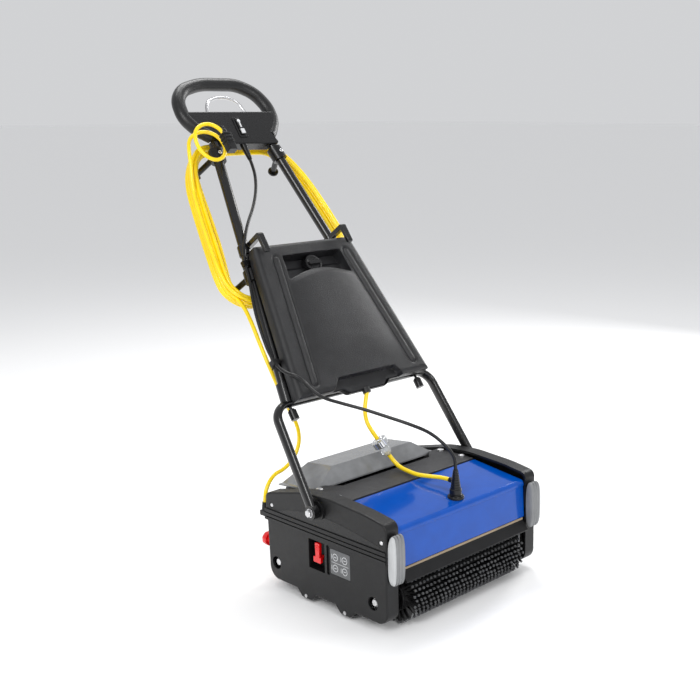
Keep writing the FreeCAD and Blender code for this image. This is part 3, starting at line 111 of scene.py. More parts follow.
BLACK = material("textured_black", (0.0045, 0.0045, 0.005), 0.4, grain=1000, bump=0.55, depth=0.0005,
                 mottle=0.3, specular=0.36)
BLACK_SMOOTH = material("moulded_black", (0.004, 0.004, 0.0045), 0.28, grain=1600, bump=0.12, specular=0.4)
TANK_BLACK = material("tank_black", (0.008, 0.008, 0.009), 0.38, grain=620, bump=0.9, depth=0.0008,
                      mottle=0.35, specular=0.45)
DECK = material("deck_grey", (0.016, 0.016, 0.018), 0.45, grain=600, bump=0.8, depth=0.0008, mottle=0.3)
LID = material("lid_grey", (0.22, 0.225, 0.232), 0.2, coat=0.5, grain=900, bump=0.15)
BLUE = material("blue_gloss", (0.0003, 0.066, 0.38), 0.13, coat=0.35, grain=250, bump=0.03, mottle=0.06,
                specular=0.2)
PAINT = material("powder_coat", (0.004, 0.004, 0.0045), 0.24, coat=0.3, grain=1500, bump=0.22, specular=0.4)
STEEL = material("steel", (0.66, 0.66, 0.67), 0.28, metallic=1.0, grain=900, bump=0.12, mottle=0.08,
                 stretch=(0.15, 1, 1))
DULL_STEEL = material("frame_steel", (0.4, 0.4, 0.41), 0.45, metallic=1.0, grain=500, bump=0.2)
RUBBER = material("grey_rubber", (0.2, 0.205, 0.21), 0.6, grain=700, bump=0.35, depth=0.0004, mottle=0.1)
RUBBER_FACE = material("grey_face", (0.44, 0.45, 0.455), 0.5, grain=900, bump=0.2, mottle=0.06)
BLACK_RUBBER = material("black_rubber", (0.006, 0.006, 0.006), 0.6, grain=900, bump=0.3, specular=0.35)
FOAM = material("grip_foam", (0.004, 0.004, 0.0045), 0.36, grain=1300, bump=0.5, depth=0.0004, sheen=0.05,
                specular=0.45)
RED = material("red_gloss", (0.7, 0.002, 0.004), 0.25, coat=0.3, grain=900, bump=0.06, mottle=0.08)
YELLOW = material("yellow_pvc", (0.94, 0.67, 0.0005), 0.34, coat=0.2, grain=1200, bump=0.15, mottle=0.06)
LEAD = material("black_pvc", (0.004, 0.004, 0.0045), 0.33, grain=1500, bump=0.15, specular=0.4)
TAN = material("tan_strip", (0.3, 0.23, 0.15), 0.5, grain=800, bump=0.2)
BRISTLE = material("bristle", (0.0025, 0.0025, 0.003), 0.45, grain=1500, bump=0.2, mottle=0.3, specular=0.3)
BRISTLE_TIP = material("bristle_tip", (0.1, 0.102, 0.106), 0.4, grain=1500, bump=0.2, mottle=0.35)
CLEAR = material("clear_bowl", (0.8, 0.82, 0.83), 0.12, grain=500, bump=0.05, mottle=0.05,
                 transmission=0.55, ior=1.46)
CHROME = material("chrome_nut", (0.72, 0.73, 0.74), 0.14, metallic=1.0, grain=600, bump=0.05, mottle=0.05)
PLATE = material("icon_plate", (0.1, 0.103, 0.107), 0.35, grain=900, bump=0.1, mottle=0.08)
GLYPH = material("glyph", (0.6, 0.61, 0.62), 0.4, grain=900, bump=0.1, mottle=0.05)
FLOOR = material("floor", (0.97, 0.97, 0.97), 0.8, grain=40, bump=0.02, mottle=0.003, specular=0.1)

NODE_MATERIALS = {
    BLACK: "side_panel_left side_panel_right side_cap_left side_cap_right front_skirt rear_skirt mains_gland",
    BLACK_SMOOTH: "front_brush_core rear_brush_core safety_button spray_bar recovery_tank "
                  "hose_inlet cord_hooks "
                  "clamp_knob_left clamp_knob_right cable_clips lead_relief",
    DECK: "deck_plate",
    LID: "recovery_lid",
    PAINT: "yoke tube_left tube_right drive_unit",
    DULL_STEEL: "frame_plate_left frame_plate_right cross_beams front_output_pulley rear_output_pulley "
                "pickup_drum axle_bearings",
    STEEL: "front_axle rear_axle cover_screws pivot_bolts bail front_wheels rear_wheels",
    BLACK_RUBBER: "front_belt rear_belt drum_scraper",
    FOAM: "grip_loop",
}
for look, names in NODE_MATERIALS.items():
    for name in names.split():
        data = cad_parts[name].data
        data.materials.clear()
        data.materials.append(look)


# ---------------------------------------------------------------- building

def finished(name, mesh, look, body, replaces=(), bevel=0.0, segments=3, crease=40.0,
             rides=True):
    """Links a mesh as a piece: smooth shading, soft edges, a look, and the body that carries it."""
    for part in (look if isinstance(look, (list, tuple)) else [look]):
        mesh.materials.append(part)
    obj = bpy.data.objects.new(name, mesh)
    bpy.context.scene.collection.objects.link(obj)
    mesh.shade_smooth()
    mesh.set_sharp_from_angle(angle=math.radians(crease))
    if bevel:
        modifier = obj.modifiers.new("edges", "BEVEL")
        modifier.width = bevel * MM
        modifier.segments = segments
        modifier.limit_method = "ANGLE"
        modifier.angle_limit = math.radians(35)
        modifier.harden_normals = True
    if rides:
        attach(obj, body)
    if replaces:
        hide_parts(*replaces)
    return obj


def mesh_from(name, vertices, faces, space, indices=None):
    mesh = bpy.data.meshes.new(name)
    mesh.from_pydata([space @ Vector(v) for v in vertices], [], faces)
    if indices:
        mesh.polygons.foreach_set("material_index", indices)
    shape = bmesh.new()
    shape.from_mesh(mesh)
    bmesh.ops.recalc_face_normals(shape, faces=shape.faces)
    shape.to_mesh(mesh)
    shape.free()
    return mesh


def rounded(corners, steps=5):
    """Points round a closed outline of (u, v) or (u, v, radius) corners."""
    points = []
    count = len(corners)
    for i, corner in enumerate(corners):
        point = Vector(corner[:2])
        radius = corner[2] if len(corner) > 2 else 0
        if not radius:
            points.append(point)
            continue
        back = (Vector(corners[i - 1][:2]) - point).normalized()
        ahead = (Vector(corners[(i + 1) % count][:2]) - point).normalized()
        half = back.angle(ahead) / 2
        reach = radius / math.tan(half)
        centre = point + (back + ahead).normalized() * (radius / math.sin(half))
        start, stop = point + back * reach - centre, point + ahead * reach - centre
        sweep = start.angle_signed(stop)
        for k in range(steps + 1):
            points.append(centre + Matrix.Rotation(-sweep * k / steps, 2) @ start)
    return points


def slab(outline, plane, low, high):
    """Vertices and faces of an outline pushed from low to high along the axis across its plane."""
    spots = {
        "yz": lambda p, d: (d, p[0], p[1]),
        "xz": lambda p, d: (p[0], d, p[1]),
        "xy": lambda p, d: (p[0], p[1], d),
    }[plane]
    count = len(outline)
    vertices = [spots(p, low) for p in outline] + [spots(p, high) for p in outline]
    faces = [tuple(range(count)), tuple(range(count, 2 * count))]
    faces += [(i, (i + 1) % count, (i + 1) % count + count, i + count) for i in range(count)]
    return vertices, faces


def window_slab(outer, inner, plane, low, high):
    """Vertices and faces of a slab with an opening: both outlines have as many points."""
    count = len(outer)
    vertices = slab(outer, plane, low, high)[0] + slab(inner, plane, high, low)[0]
    faces = [
        (loop * count + i, loop * count + (i + 1) % count, after * count + (i + 1) % count, after * count + i)
        for loop, after in ((0, 1), (1, 2), (2, 3), (3, 0)) for i in range(count)
    ]
    return vertices, faces


def lathe(profile, origin, axis, segments=40):
    """Vertices and faces of (radius, height) points turned round an axis from an origin."""
    turn = Vector((0, 0, 1)).rotation_difference(Vector(axis)).to_matrix()
    vertices = []
    for radius, height in profile:
        for k in range(segments):
            angle = 2 * math.pi * k / segments
            at = Vector((radius * math.cos(angle), radius * math.sin(angle), height))
            vertices.append(Vector(origin) + turn @ at)
    faces = []
    for ring in range(len(profile) - 1):
        for k in range(segments):
            a, b = ring * segments + k, ring * segments + (k + 1) % segments
            faces.append((a, b, b + segments, a + segments))
    faces.append(tuple(range(segments)))
    faces.append(tuple(range((len(profile) - 1) * segments, len(profile) * segments)))
    return vertices, faces


def joined(*parts):
    """Several (vertices, faces) as one."""
    vertices, faces = [], []
    for more_vertices, more_faces in parts:
        base = len(vertices)
        vertices += list(more_vertices)
        faces += [tuple(i + base for i in face) for face in more_faces]
    return vertices, faces


def smooth_line(controls, steps=10):
    """Points along the smooth curve that has these control points."""
    curve = bpy.data.curves.new("route", "CURVE")
    curve.dimensions = "3D"
    spline = curve.splines.new("NURBS")
    spline.points.add(len(controls) - 1)
    for point, control in zip(spline.points, controls):
        point.co = (*control, 1.0)
    spline.order_u = 3
    spline.use_endpoint_u = True
    spline.resolution_u = steps
    holder = bpy.data.objects.new("route", curve)
    line = bpy.data.meshes.new_from_object(holder)
    points = [vertex.co.copy() for vertex in line.vertices]
    bpy.data.meshes.remove(line)
    bpy.data.objects.remove(holder)
    bpy.data.curves.remove(curve)
    return points


def sweep(points, radius_at, sides=14):
    """Vertices and faces of a round tube along points, its radius given by (share of the length)."""
    lengths = [0.0]
    for a, b in zip(points, points[1:]):
        lengths.append(lengths[-1] + (b - a).length)
    normal = (points[1] - points[0]).orthogonal().normalized()
    vertices = []
    for i, point in enumerate(points):
        ahead = points[min(i + 1, len(points) - 1)] - points[max(i - 1, 0)]
        ahead.normalize()
        normal = (normal - ahead * normal.dot(ahead)).normalized()
        across = ahead.cross(normal)
        radius = radius_at(lengths[i] / lengths[-1])
        for k in range(sides):
            angle = 2 * math.pi * k / sides
            vertices.append(point + (normal * math.cos(angle) + across * math.sin(angle)) * radius)
    faces = []
    for i in range(len(points) - 1):
        for k in range(sides):
            a, b = i * sides + k, i * sides + (k + 1) % sides
            faces.append((a, b, b + sides, a + sides))
    faces.append(tuple(range(sides)))
    faces.append(tuple(range((len(points) - 1) * sides, len(points) * sides)))
    return vertices, faces


# ---------------------------------------------------------------- camera, light and floor

AZIMUTH = math.radians(-47.97)
ELEVATION = math.radians(12.40)
away = Vector((
    math.sin(AZIMUTH) * math.cos(ELEVATION), -math.cos(AZIMUTH) * math.cos(ELEVATION), math.sin(ELEVATION),
))
right = Vector((math.cos(AZIMUTH), math.sin(AZIMUTH), 0))
up = away.cross(right)
camera = bpy.data.objects.new("camera", bpy.data.cameras.new("camera"))
camera_place = Matrix.Translation((-1.533, -1.573 + HEAD_Y * MM, 0.977))
camera.matrix_world = camera_place @ Matrix((right, up, away)).transposed().to_4x4()
camera.data.sensor_width = 36.0
camera.data.lens = 36.0 * 1098 / 700
camera.data.shift_x = 0.5 - 470 / 700
bpy.context.scene.collection.objects.link(camera)
bpy.context.scene.camera = camera

world = bpy.data.worlds.new("studio")
world.use_nodes = True
world.node_tree.nodes["Background"].inputs["Color"].default_value = (0.97, 0.98, 1.0, 1.0)
world.node_tree.nodes["Background"].inputs["Strength"].default_value = 0.66
bpy.context.scene.world = world
bpy.context.scene.view_settings.view_transform = "Standard"


def softbox(name, place, target, size, power):
    light = bpy.data.lights.new(name, "AREA")
    light.shape = "RECTANGLE"
    light.size, light.size_y = size
    light.energy = power
    obj = bpy.data.objects.new(name, light)
    direction = Vector(target) - Vector(place)
    obj.matrix_world = Matrix.Translation(place) @ direction.to_track_quat("-Z", "Y").to_matrix().to_4x4()
    bpy.context.scene.collection.objects.link(obj)


softbox("key", (-2.6, -1.2, 2.3), (0, 0, 0.4), (0.9, 1.4), 44)
softbox("front", (-0.6, -3.0, 1.6), (0, 0, 0.3), (1.2, 0.8), 26)
softbox("top", (0.6, 0.9, 2.6), (0, -0.1, 0.3), (1.6, 0.7), 34)
softbox("rim", (2.4, 0.2, 1.3), (0, 0, 0.5), (0.6, 1.4), 28)

floor = bpy.data.objects.new("floor", mesh_from(
    "floor", [(-60, -60, 0), (60, -60, 0), (60, 60, 0), (-60, 60, 0)], [(0, 1, 2, 3)], Matrix.Identity(4)))
floor.data.materials.append(FLOOR)
bpy.context.scene.collection.objects.link(floor)


# ---------------------------------------------------------------- cords

def handle_points(points):
    return [HANDLE @ Vector(point) for point in points]


def head_points(points):
    return [HEAD @ Vector(point) for point in points]


CONNECTOR = (6.0, -147.0, 210.5)
OUTLET = (0.0, -30.0, 201.0)
FILTER_START = Vector((-12, 62, 297))
FILTER_STOP = Vector((8, 49, 260))
FILTER_AXIS = (FILTER_STOP - FILTER_START).normalized()
NIP = 9.0

LEAD_ON_HANDLE = (
    (-4, -6, 812), (-6, -7, 788), (-13, -9, 757), (-31, -11, 718), (-60, -13, 676), (-93, -16, 640),
    (-118, -18, 606), (-136, -17, 575), (-145, -13, 543), (-152, -15, 508), (-166, -16, 464),
    (-177, -16, 418), (-184, -17, 370), (-187, -18, 335), (-187, -24, 305), (-187, -41, 278),
    (-177, -64, 257),
)
LEAD_ON_HEAD = (
    (-150, 86, 411), (-116, 48, 396), (-92, 8, 386), (-74, -30, 376), (-52, -74, 364), (-28, -111, 348),
    (-9, -134, 322), (4, -145, 299), (6, -147, 283), (6, -147, 260.5),
)
HOSE_UPPER = ((-10, 101, 362), (-22, 86, 336), (-22, 69, 315))
HOSE_LOWER = (
    (11.6, 46.6, 253.3), (15.5, 35.7, 241.3), (16, 20.8, 234.4), (11, -8, 234), (5, -40, 235),
    (14, -70, 236), (26, -94, 236), (26, -118, 236),
)
CORD_STRAND = (
    (-211, 193, 169), (-211, 193, 193), (-198, 196, 215), (-176, 203, 227), (-150, 209, 228),
    (-127, 212, 237), (-108, 213, 255), (-98, 213, 281), (-103, 211, 312), (-122, 206, 346),
    (-146, 198, 378), (-162, 194, 408),
)
CORD_ON_HANDLE = ((-170, 21, 298), (-172, 18, 338), (-170, 18, 382), (-166, 20, 428), (-161, 29, 466),
                  (-166, 39, 500))
COIL_POINTS = (
    (-180, 508), (-181, 556), (-174, 606), (-166, 680), (-153, 765), (-135, 815), (-100, 855), (-52, 858),
    (52, 858), (100, 855), (138, 815), (166, 745), (189, 620), (191, 552), (187, 508), (156, 477),
    (112, 473), (10, 473), (-98, 473), (-142, 472),
)
COIL_PLANE = 38.0
CORD_TAIL = (
    (-178, 39, 506), (-172, 38, 560), (-168, 38, 625), (-165, 37, 690), (-162, 30, 735), (-158, 17, 776),
    (-155, 4, 803), (-153, -6, 830), (-141.5, -9, 860), (-113, -18, 872), (-85, -26, 860), (-73, -29, 830),
    (-84.5, -29, 800), (-113, -29, 787), (-142, -33, 800), (-153, -38, 828), (-146, -43, 856),
    (-124, -48, 870), (-97, -49, 868), (-78, -49, 846), (-78, -49, 814),
)
TURNS = 11
TURN_SLACK = 3.5         # how much a turn's free side differs from the others
COIL_STRAY = 0.8         # how far a point strays from its turn
FAN_SIDE = -120          # the turns fan out to the left of this,
FAN_LOW = 506            # between these two heights
FAN_HIGH = 815
FAN_SPREAD = 0.8
FAN_FLATTEN = 0.2
HOOK_LOW = 510           # hooks squeeze the turns below and above these heights
HOOK_HIGH = 812
HOOK_SQUEEZE = 0.8
CORD_DIAMETER = 8.5


def coil_offsets():
    """Where each turn lies in the bundle's section: one in the middle, six round it and the rest outside."""
    offsets = [(0.0, 0.0)]
    for count, reach, start in ((6, 8.8, 0.3), (9, 15.2, 0.1)):
        offsets += [
            (reach * math.cos(start + 2 * math.pi * k / count),
             reach * math.sin(start + 2 * math.pi * k / count))
            for k in range(count)
        ]
    return sorted(offsets)[:TURNS + 1]


def coil_points():
    """The turns of the hung-up cord: they fan out on the left, where nothing ties them."""
    rng = random.Random(7)
    points = []
    count = len(COIL_POINTS)
    offsets = coil_offsets()
    for turn in range(TURNS):
        slack = rng.uniform(-TURN_SLACK, TURN_SLACK)
        for i, (x, z) in enumerate(COIL_POINTS):
            before, after = Vector(COIL_POINTS[i - 1]), Vector(COIL_POINTS[(i + 1) % count])
            along = (after - before).normalized()
            outward = Vector((-along.y, along.x))
            share = i / count
            out = offsets[turn][0] * (1 - share) + offsets[turn + 1][0] * share
            deep = offsets[turn][1] * (1 - share) + offsets[turn + 1][1] * share
            free = 0.0
            if x < FAN_SIDE and FAN_LOW < z < FAN_HIGH:
                free = math.sin(math.pi * (z - FAN_LOW) / (FAN_HIGH - FAN_LOW))
            tied = HOOK_SQUEEZE if z < HOOK_LOW or z > HOOK_HIGH else 1.0
            out = out * (tied + FAN_SPREAD * free) + slack * free + rng.uniform(-COIL_STRAY, COIL_STRAY)
            deep = deep * (1 - FAN_FLATTEN * free) + rng.uniform(-COIL_STRAY, COIL_STRAY)
            if turn or i:
                points.append((x + outward.x * out, COIL_PLANE + deep, z + outward.y * out))
    return points


def cord_piece(name, controls, radius, look, steps=10, sides=14):
    line = smooth_line(controls, steps)
    vertices, faces = sweep(line, lambda share: radius * MM, sides)
    mesh = mesh_from(name, vertices, faces, Matrix.Identity(4))
    return finished(name, mesh, look, None, rides=False, crease=80), line


mains_controls = (
    head_points(CORD_STRAND) + handle_points(CORD_ON_HANDLE) + handle_points(coil_points())
    + handle_points(CORD_TAIL)
)
mains_cord, mains_line = cord_piece("mains_cord", mains_controls, CORD_DIAMETER / 2, YELLOW,
                                    steps=7, sides=12)
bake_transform(mains_cord)
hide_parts("power_cord", "cord_coil")

lead_controls = handle_points(LEAD_ON_HANDLE) + head_points(LEAD_ON_HEAD)
switch_lead, lead_line = cord_piece("switch_cable", lead_controls, 3.5, LEAD)
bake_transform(switch_lead)
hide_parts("switch_lead")

upper_controls = (
    [HANDLE @ Vector(OUTLET)] + head_points(HOSE_UPPER)
    + head_points([FILTER_START + FILTER_AXIS * NIP])
)
hose_upper, upper_line = cord_piece("hose_upper", upper_controls, 4.5, YELLOW)
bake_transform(hose_upper)
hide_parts("solution_hose")
lower_controls = head_points([FILTER_STOP - FILTER_AXIS * NIP]) + head_points(HOSE_LOWER)
hose_lower, lower_line = cord_piece("hose_lower", lower_controls, 4.5, YELLOW)
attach(hose_lower, "head")
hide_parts("solution_hose")


# ---------------------------------------------------------------- plug

def power_plug():
    """A moulded plug that hangs down: a tapered sleeve with rings, a ribbed grip and a nose."""
    parts = []
    section = rounded([(-89.5, -60, 5), (-66.5, -60, 5), (-66.5, -38, 5), (-89.5, -38, 5)])
    for k in range(6):
        low = 816.0 + k * 4.2
        shrink = 1.0 if k % 2 else 0.9
        ring = [Vector((-78 + (p.x + 78) * shrink, -49 + (p.y + 49) * shrink)) for p in section]
        parts.append(slab(ring, "xy", low, low + 4.3))
    nose = rounded([(-88.5, -58, 3), (-67.5, -58, 3), (-67.5, -40, 3), (-88.5, -40, 3)])
    parts.append(slab(nose, "xy", 798.5, 816.5))
    sleeve = [(8.6, 840.5)]
    for k in range(5):
        sleeve += [(8.2 - k * 0.75, 841 + k * 4.4), (8.2 - k * 0.75, 843.8 + k * 4.4),
                   (6.9 - k * 0.55, 844.4 + k * 4.4)]
    parts.append(lathe([(r, z - 840) for r, z in sleeve], (-78, -49, 840), (0, 0, 1), 28))
    return joined(*parts)


plug = finished("plug_body", mesh_from("plug_body", *power_plug(), HANDLE), BLACK_SMOOTH, "handle",
                ["power_plug"], bevel=0.8)


# ---------------------------------------------------------------- brushes

def tufts(name, node, axis_y, seed):
    """A brush: a sleeve set with rows of separate bristle tufts, each a bunch of strands with pale ends."""
    rng = random.Random(seed)
    rows, along_count, tip = 34, 31, 57.8
    vertices, faces = lathe([(33, -167), (33, 167)], (0, axis_y, 58), (1, 0, 0), 48)
    indices = [0] * len(faces)
    for row in range(rows):
        for k in range(along_count):
            x = -161.5 + 323 * (k + 0.5 * (row % 2)) / (along_count - 0.5) + rng.uniform(-0.5, 0.5)
            angle = 2 * math.pi * row / rows + rng.uniform(-0.01, 0.01)
            lean, slant = rng.uniform(-0.012, 0.012), rng.uniform(-0.8, 0.8)
            for strand in range(7):
                turn = 2 * math.pi * strand / 6
                off = 0.0 if strand == 6 else 1.55
                top = tip - rng.uniform(0.0, 1.4)
                start = len(vertices)
                for radius, share, size in ((32, 0.0, 0.8), (top - 3.0, 0.9, 0.95), (top, 1.0, 0.75)):
                    around = angle + lean * share + off * math.sin(turn) * (0.7 + 0.5 * share) / 55
                    middle = x + slant * share + off * math.cos(turn) * (0.7 + 0.5 * share)
                    out = Vector((0, math.cos(around), math.sin(around)))
                    side = Vector((0, -math.sin(around), math.cos(around)))
                    centre = Vector((middle, axis_y, 58)) + out * radius
                    vertices += [centre + Vector((size, 0, 0)), centre + side * size,
                                 centre - Vector((size, 0, 0)), centre - side * size]
                for level in range(2):
                    for q in range(4):
                        a, b = start + level * 4 + q, start + level * 4 + (q + 1) % 4
                        faces.append((a, b, b + 4, a + 4))
                        indices.append(level)
                faces.append(tuple(range(start + 8, start + 12)))
                indices.append(1)
    mesh = bpy.data.meshes.new(name)
    mesh.from_pydata([HEAD @ Vector(v) for v in vertices], [], faces)
    mesh.polygons.foreach_set("material_index", indices)
    body = node.replace("_bristles", "_brush")
    return finished(name, mesh, [BRISTLE, BRISTLE_TIP], body, [node])


tufts("front_tufts", "front_bristles", -141.0, 3)
tufts("rear_tufts", "rear_bristles", 149.0, 4)


# ---------------------------------------------------------------- head

def motor_cover():
    """The glossy cover: a bowed top that rolls over into a flat front with a step line under it."""
    back, front, rise, crease, base, wall = -36.0, -176.0, 224.0, 208.0, 128.0, 3.0
    outer = rounded([
        (back, rise), (front, crease, 9), (front, crease - 12, 0.6), (front + 1.8, crease - 13.2, 0.6),
        (front + 1.6, crease - 15, 0.6), (front - 2, base),
    ], steps=8)
    inner = [Vector((front + 1.2, base)), Vector((front + wall + 1.6, crease - 16)),
             Vector((front + wall, crease - 12)),
             Vector((front + wall + 3, crease - wall)), Vector((back, rise - wall))]
    outline = outer + inner
    return slab(outline, "yz", -186.5, 186.5)


finished("blue_cover", mesh_from("blue_cover", *motor_cover(), HEAD), BLUE, "head",
         ["motor_cover"], bevel=0.7, crease=28)
tan_strip = slab(rounded([(-180, 123.2), (-176.5, 123.2), (-176.5, 127.6), (-180, 127.6)]), "yz", -180, 180)
finished("tan_edge", mesh_from("tan_edge", *tan_strip, HEAD), TAN, "head", bevel=0.5)


def bumper(side, sign):
    """A rubber buffer: a tall lozenge, stepped round its rim, with a pale oval face outwards."""
    vertices, faces, indices = [], [], []
    count = 56
    profile = (
        (0.0, 0.86), (1.2, 0.96), (3.0, 1.0), (7.0, 1.0), (7.6, 0.94), (9.2, 0.94), (9.8, 1.0), (14.4, 1.0),
        (15.0, 0.94), (16.6, 0.94), (17.2, 1.0), (21.6, 1.0), (22.2, 0.95), (23.6, 0.95), (24.2, 0.985),
        (27.2, 0.94), (29.3, 0.86), (30.0, 0.76),
    )
    for depth, grow in profile:
        for k in range(count):
            angle = 2 * math.pi * k / count
            u = math.copysign(abs(math.cos(angle)) ** 0.75, math.cos(angle))
            v = math.copysign(abs(math.sin(angle)) ** 0.62, math.sin(angle))
            y = -180.3 - 9.6 + 9.6 * u * grow
            z = 154.5 + 49.5 * v * grow
            vertices.append((sign * (188 + depth), y, z))
    rings = len(profile)
    for ring in range(rings - 1):
        for k in range(count):
            a, b = ring * count + k, ring * count + (k + 1) % count
            faces.append((a, b, b + count, a + count))
            indices.append(1 if ring >= rings - 4 else 0)
    faces += [tuple(range(count)), tuple(range((rings - 1) * count, rings * count))]
    indices += [0, 1]
    return finished(f"buffer_{side}", mesh_from(f"buffer_{side}", vertices, faces, HEAD, indices),
                    [RUBBER, RUBBER_FACE],
                    "head", [f"bumper_{side}"], crease=50)


for side, sign in SIDES:
    bumper(side, sign)


def knob():
    """The rear knob: a collar, a grip with finger flutes and a domed crown."""
    parts = [lathe([(5, -14), (5, 2.2), (9.4, 2.4), (10, 3), (10, 18), (9.6, 20.4)], (-196, 176, 90),
                   (0, 1, 0))]
    profile = [(12.6, 20), (14.6, 21), (15, 23), (15, 31.5), (14.2, 33.5), (11.5, 37), (8, 39.8), (4, 40.9),
               (0.5, 41)]
    vertices, faces = lathe(profile, (-196, 176, 90), (0, 1, 0), 64)
    shaped = []
    for k, vertex in enumerate(vertices):
        angle = 2 * math.pi * (k % 64) / 64
        reach = 1 - 0.055 * max(0.0, math.cos(8 * angle)) ** 2
        centre = Vector((-196, vertex.y, 90))
        shaped.append(centre + (vertex - centre) * reach)
    parts.append((shaped, faces))
    return joined(*parts)


finished("rear_knob", mesh_from("rear_knob", *knob(), HEAD), RED, "knob", ["wheel_knob"],
         crease=35)


def lever():
    """The T-shaped lever with a ridged paddle."""
    paddle = slab(rounded([(14.5, 104, 2), (25.5, 104, 2), (27, 136, 3), (13, 136, 3)]), "yz", -219, -212.5)
    foot = slab(rounded([(10.5, 94, 2), (32.5, 94, 2), (32.5, 106, 2), (10.5, 106, 2)]), "yz", -218.6, -212.5)
    hub = lathe([(7, 0), (7, 12)], (-218, 20.5, 102), (1, 0, 0))
    pin = lathe([(4, 0), (4, 14)], (-208, 20.5, 102), (1, 0, 0))
    ridges = [slab(rounded([(14.5, z, 0.6), (25.5, z, 0.6), (25.5, z + 1.8, 0.6), (14.5, z + 1.8, 0.6)]),
                   "yz", -219.9, -218.5)
              for z in (121, 125, 129)]
    return joined(paddle, foot, hub, pin, *ridges)


finished("selector", mesh_from("selector", *lever(), HEAD), RED, "selector",
         ["selector_lever"], bevel=0.6)

plate_outline = rounded([(-78, 85, 2), (-21, 85, 2), (-21, 137, 2), (-78, 137, 2)])
finished("icon_plate", mesh_from("icon_plate", *slab(plate_outline, "yz", -220.2, -219), HEAD), PLATE, "head",
         bevel=0.3)


def glyphs():
    """Plain generic signs on the plate: rings and bars."""
    parts = []
    for y, z in ((-63, 122), (-36, 122), (-63, 99), (-36, 99)):
        ring = [(y + 7.5 * math.cos(k * math.pi / 16), z + 7.5 * math.sin(k * math.pi / 16))
                for k in range(32)]
        for (a, b), (c, d) in zip(ring, ring[1:] + ring[:1]):
            inner = 0.84
            corners = [(a, b), (c, d), (y + (c - y) * inner, z + (d - z) * inner),
                       (y + (a - y) * inner, z + (b - z) * inner)]
            parts.append(slab(corners, "yz", -220.5, -219.9))
        parts.append(slab([(y - 3.6, z - 0.6), (y + 3.6, z - 0.6), (y + 3.6, z + 0.6), (y - 3.6, z + 0.6)],
                          "yz", -220.5, -219.9))
        parts.append(slab([(y + 10, z - 5), (y + 11, z - 5), (y + 11, z + 5), (y + 10, z + 5)], "yz",
                          -220.5, -219.9))
    parts.append(slab([(-74, 110.1), (-25, 110.1), (-25, 110.9), (-74, 110.9)], "yz", -220.5, -219.9))
    return joined(*parts)


finished("plate_signs", mesh_from("plate_signs", *glyphs(), HEAD), GLYPH, "head")


def lens(side, sign):
    """A dark lens-shaped inset above the ribs of a side cap."""
    top = [(137, 174.5), (110, 183), (70, 191), (30, 195.5), (0, 196.5), (-40, 195), (-90, 190),
           (-135, 183), (-174, 176)]
    outline = [Vector(p) for p in top] + [Vector((-174, 173)), Vector((137, 172.2))]
    low, high = sorted((sign * 219.6, sign * 220.35))
    mesh = mesh_from(f"cap_inset_{side}", *slab(outline, "yz", low, high), HEAD)
    return finished(f"cap_inset_{side}", mesh, BLACK_SMOOTH, "head", bevel=0.3)


for side, sign in SIDES:
    lens(side, sign)


def screw_head(origin, axis, radius=6.0, height=3.0):
    """A pan-head screw."""
    head = lathe([(radius, 0), (radius, height * 0.45), (radius * 0.86, height * 0.8),
                  (radius * 0.6, height)], origin, axis, 28)
    return head


def screws():
    parts = []
    for _, sign in SIDES:
        for x, y in ((180, -4), (177, 58)):
            parts.append(screw_head((sign * x, y, 227), (0, 0, 1), 7.5, 3.6))
            parts.append(slab([(sign * x - 3.4, y - 0.5), (sign * x + 3.4, y - 0.5),
                               (sign * x + 3.4, y + 0.5), (sign * x - 3.4, y + 0.5)],
                              "xy", 230.1, 230.7))
        for y, z in ((160, 181), (-166, 187)):
            parts.append(screw_head((sign * 218, y, z), (sign, 0, 0), 4.5, 2.0))
    return joined(*parts)


finished("screws", mesh_from("screws", *screws(), HEAD), STEEL, "head", ["cover_screws"], crease=30)


def connector():
    """The round plug of the switch lead and its long tapered strain relief with rings."""
    x, y, z = CONNECTOR
    rings = [(17, 0), (17, 4), (16, 6), (12.6, 6.2), (12.6, 9), (11.6, 9.6), (12.4, 10.4), (12.4, 19),
             (11, 20.5)]
    height, radius = 20.5, 10.6
    while height < 56:
        rings += [(radius, height), (radius, height + 3.2), (radius - 1.3, height + 3.6),
                  (radius - 1.3, height + 4.8)]
        height += 5.0
        radius -= 0.72
    rings += [(4.6, 57.6), (3.55, 58)]
    return lathe(rings, (x, y, z), (0, 0, 1), 44)


finished("lead_plug", mesh_from("lead_plug", *connector(), HEAD), BLACK_SMOOTH, "head",
         ["lead_connector"], crease=40)


def strainer():
    """The strainer's clear bowl and a wide ribbed nut."""
    length = (FILTER_STOP - FILTER_START).length
    bowl = lathe([(6, 20), (10.5, 21), (11, 24), (11, length - 9), (9, length - 3), (6.2, length),
                  (4.9, length)],
                 FILTER_START, FILTER_AXIS, 36)
    nut_profile = [(5.2, 0), (8, 0.6), (9.5, 3.6), (15.6, 4.2), (17, 5.4), (17, 18.6), (15.6, 19.8),
                   (11, 20.4), (10, 20.6)]
    vertices, faces = lathe(nut_profile, FILTER_START, FILTER_AXIS, 72)
    shaped = []
    for k, vertex in enumerate(vertices):
        ring = k // 72
        centre = FILTER_START + FILTER_AXIS * nut_profile[ring][1]
        grow = 1 - (0.07 if (k % 72) % 6 < 2 and 3 <= ring <= 6 else 0.0)
        shaped.append(centre + (vertex - centre) * grow)
    return bowl, (shaped, faces)


bowl, nut = strainer()
finished("strainer_bowl", mesh_from("strainer_bowl", *bowl, HEAD), CLEAR, "head",
         ["inline_filter"], crease=50)
finished("strainer_nut", mesh_from("strainer_nut", *nut, HEAD), CHROME, "head", crease=35)


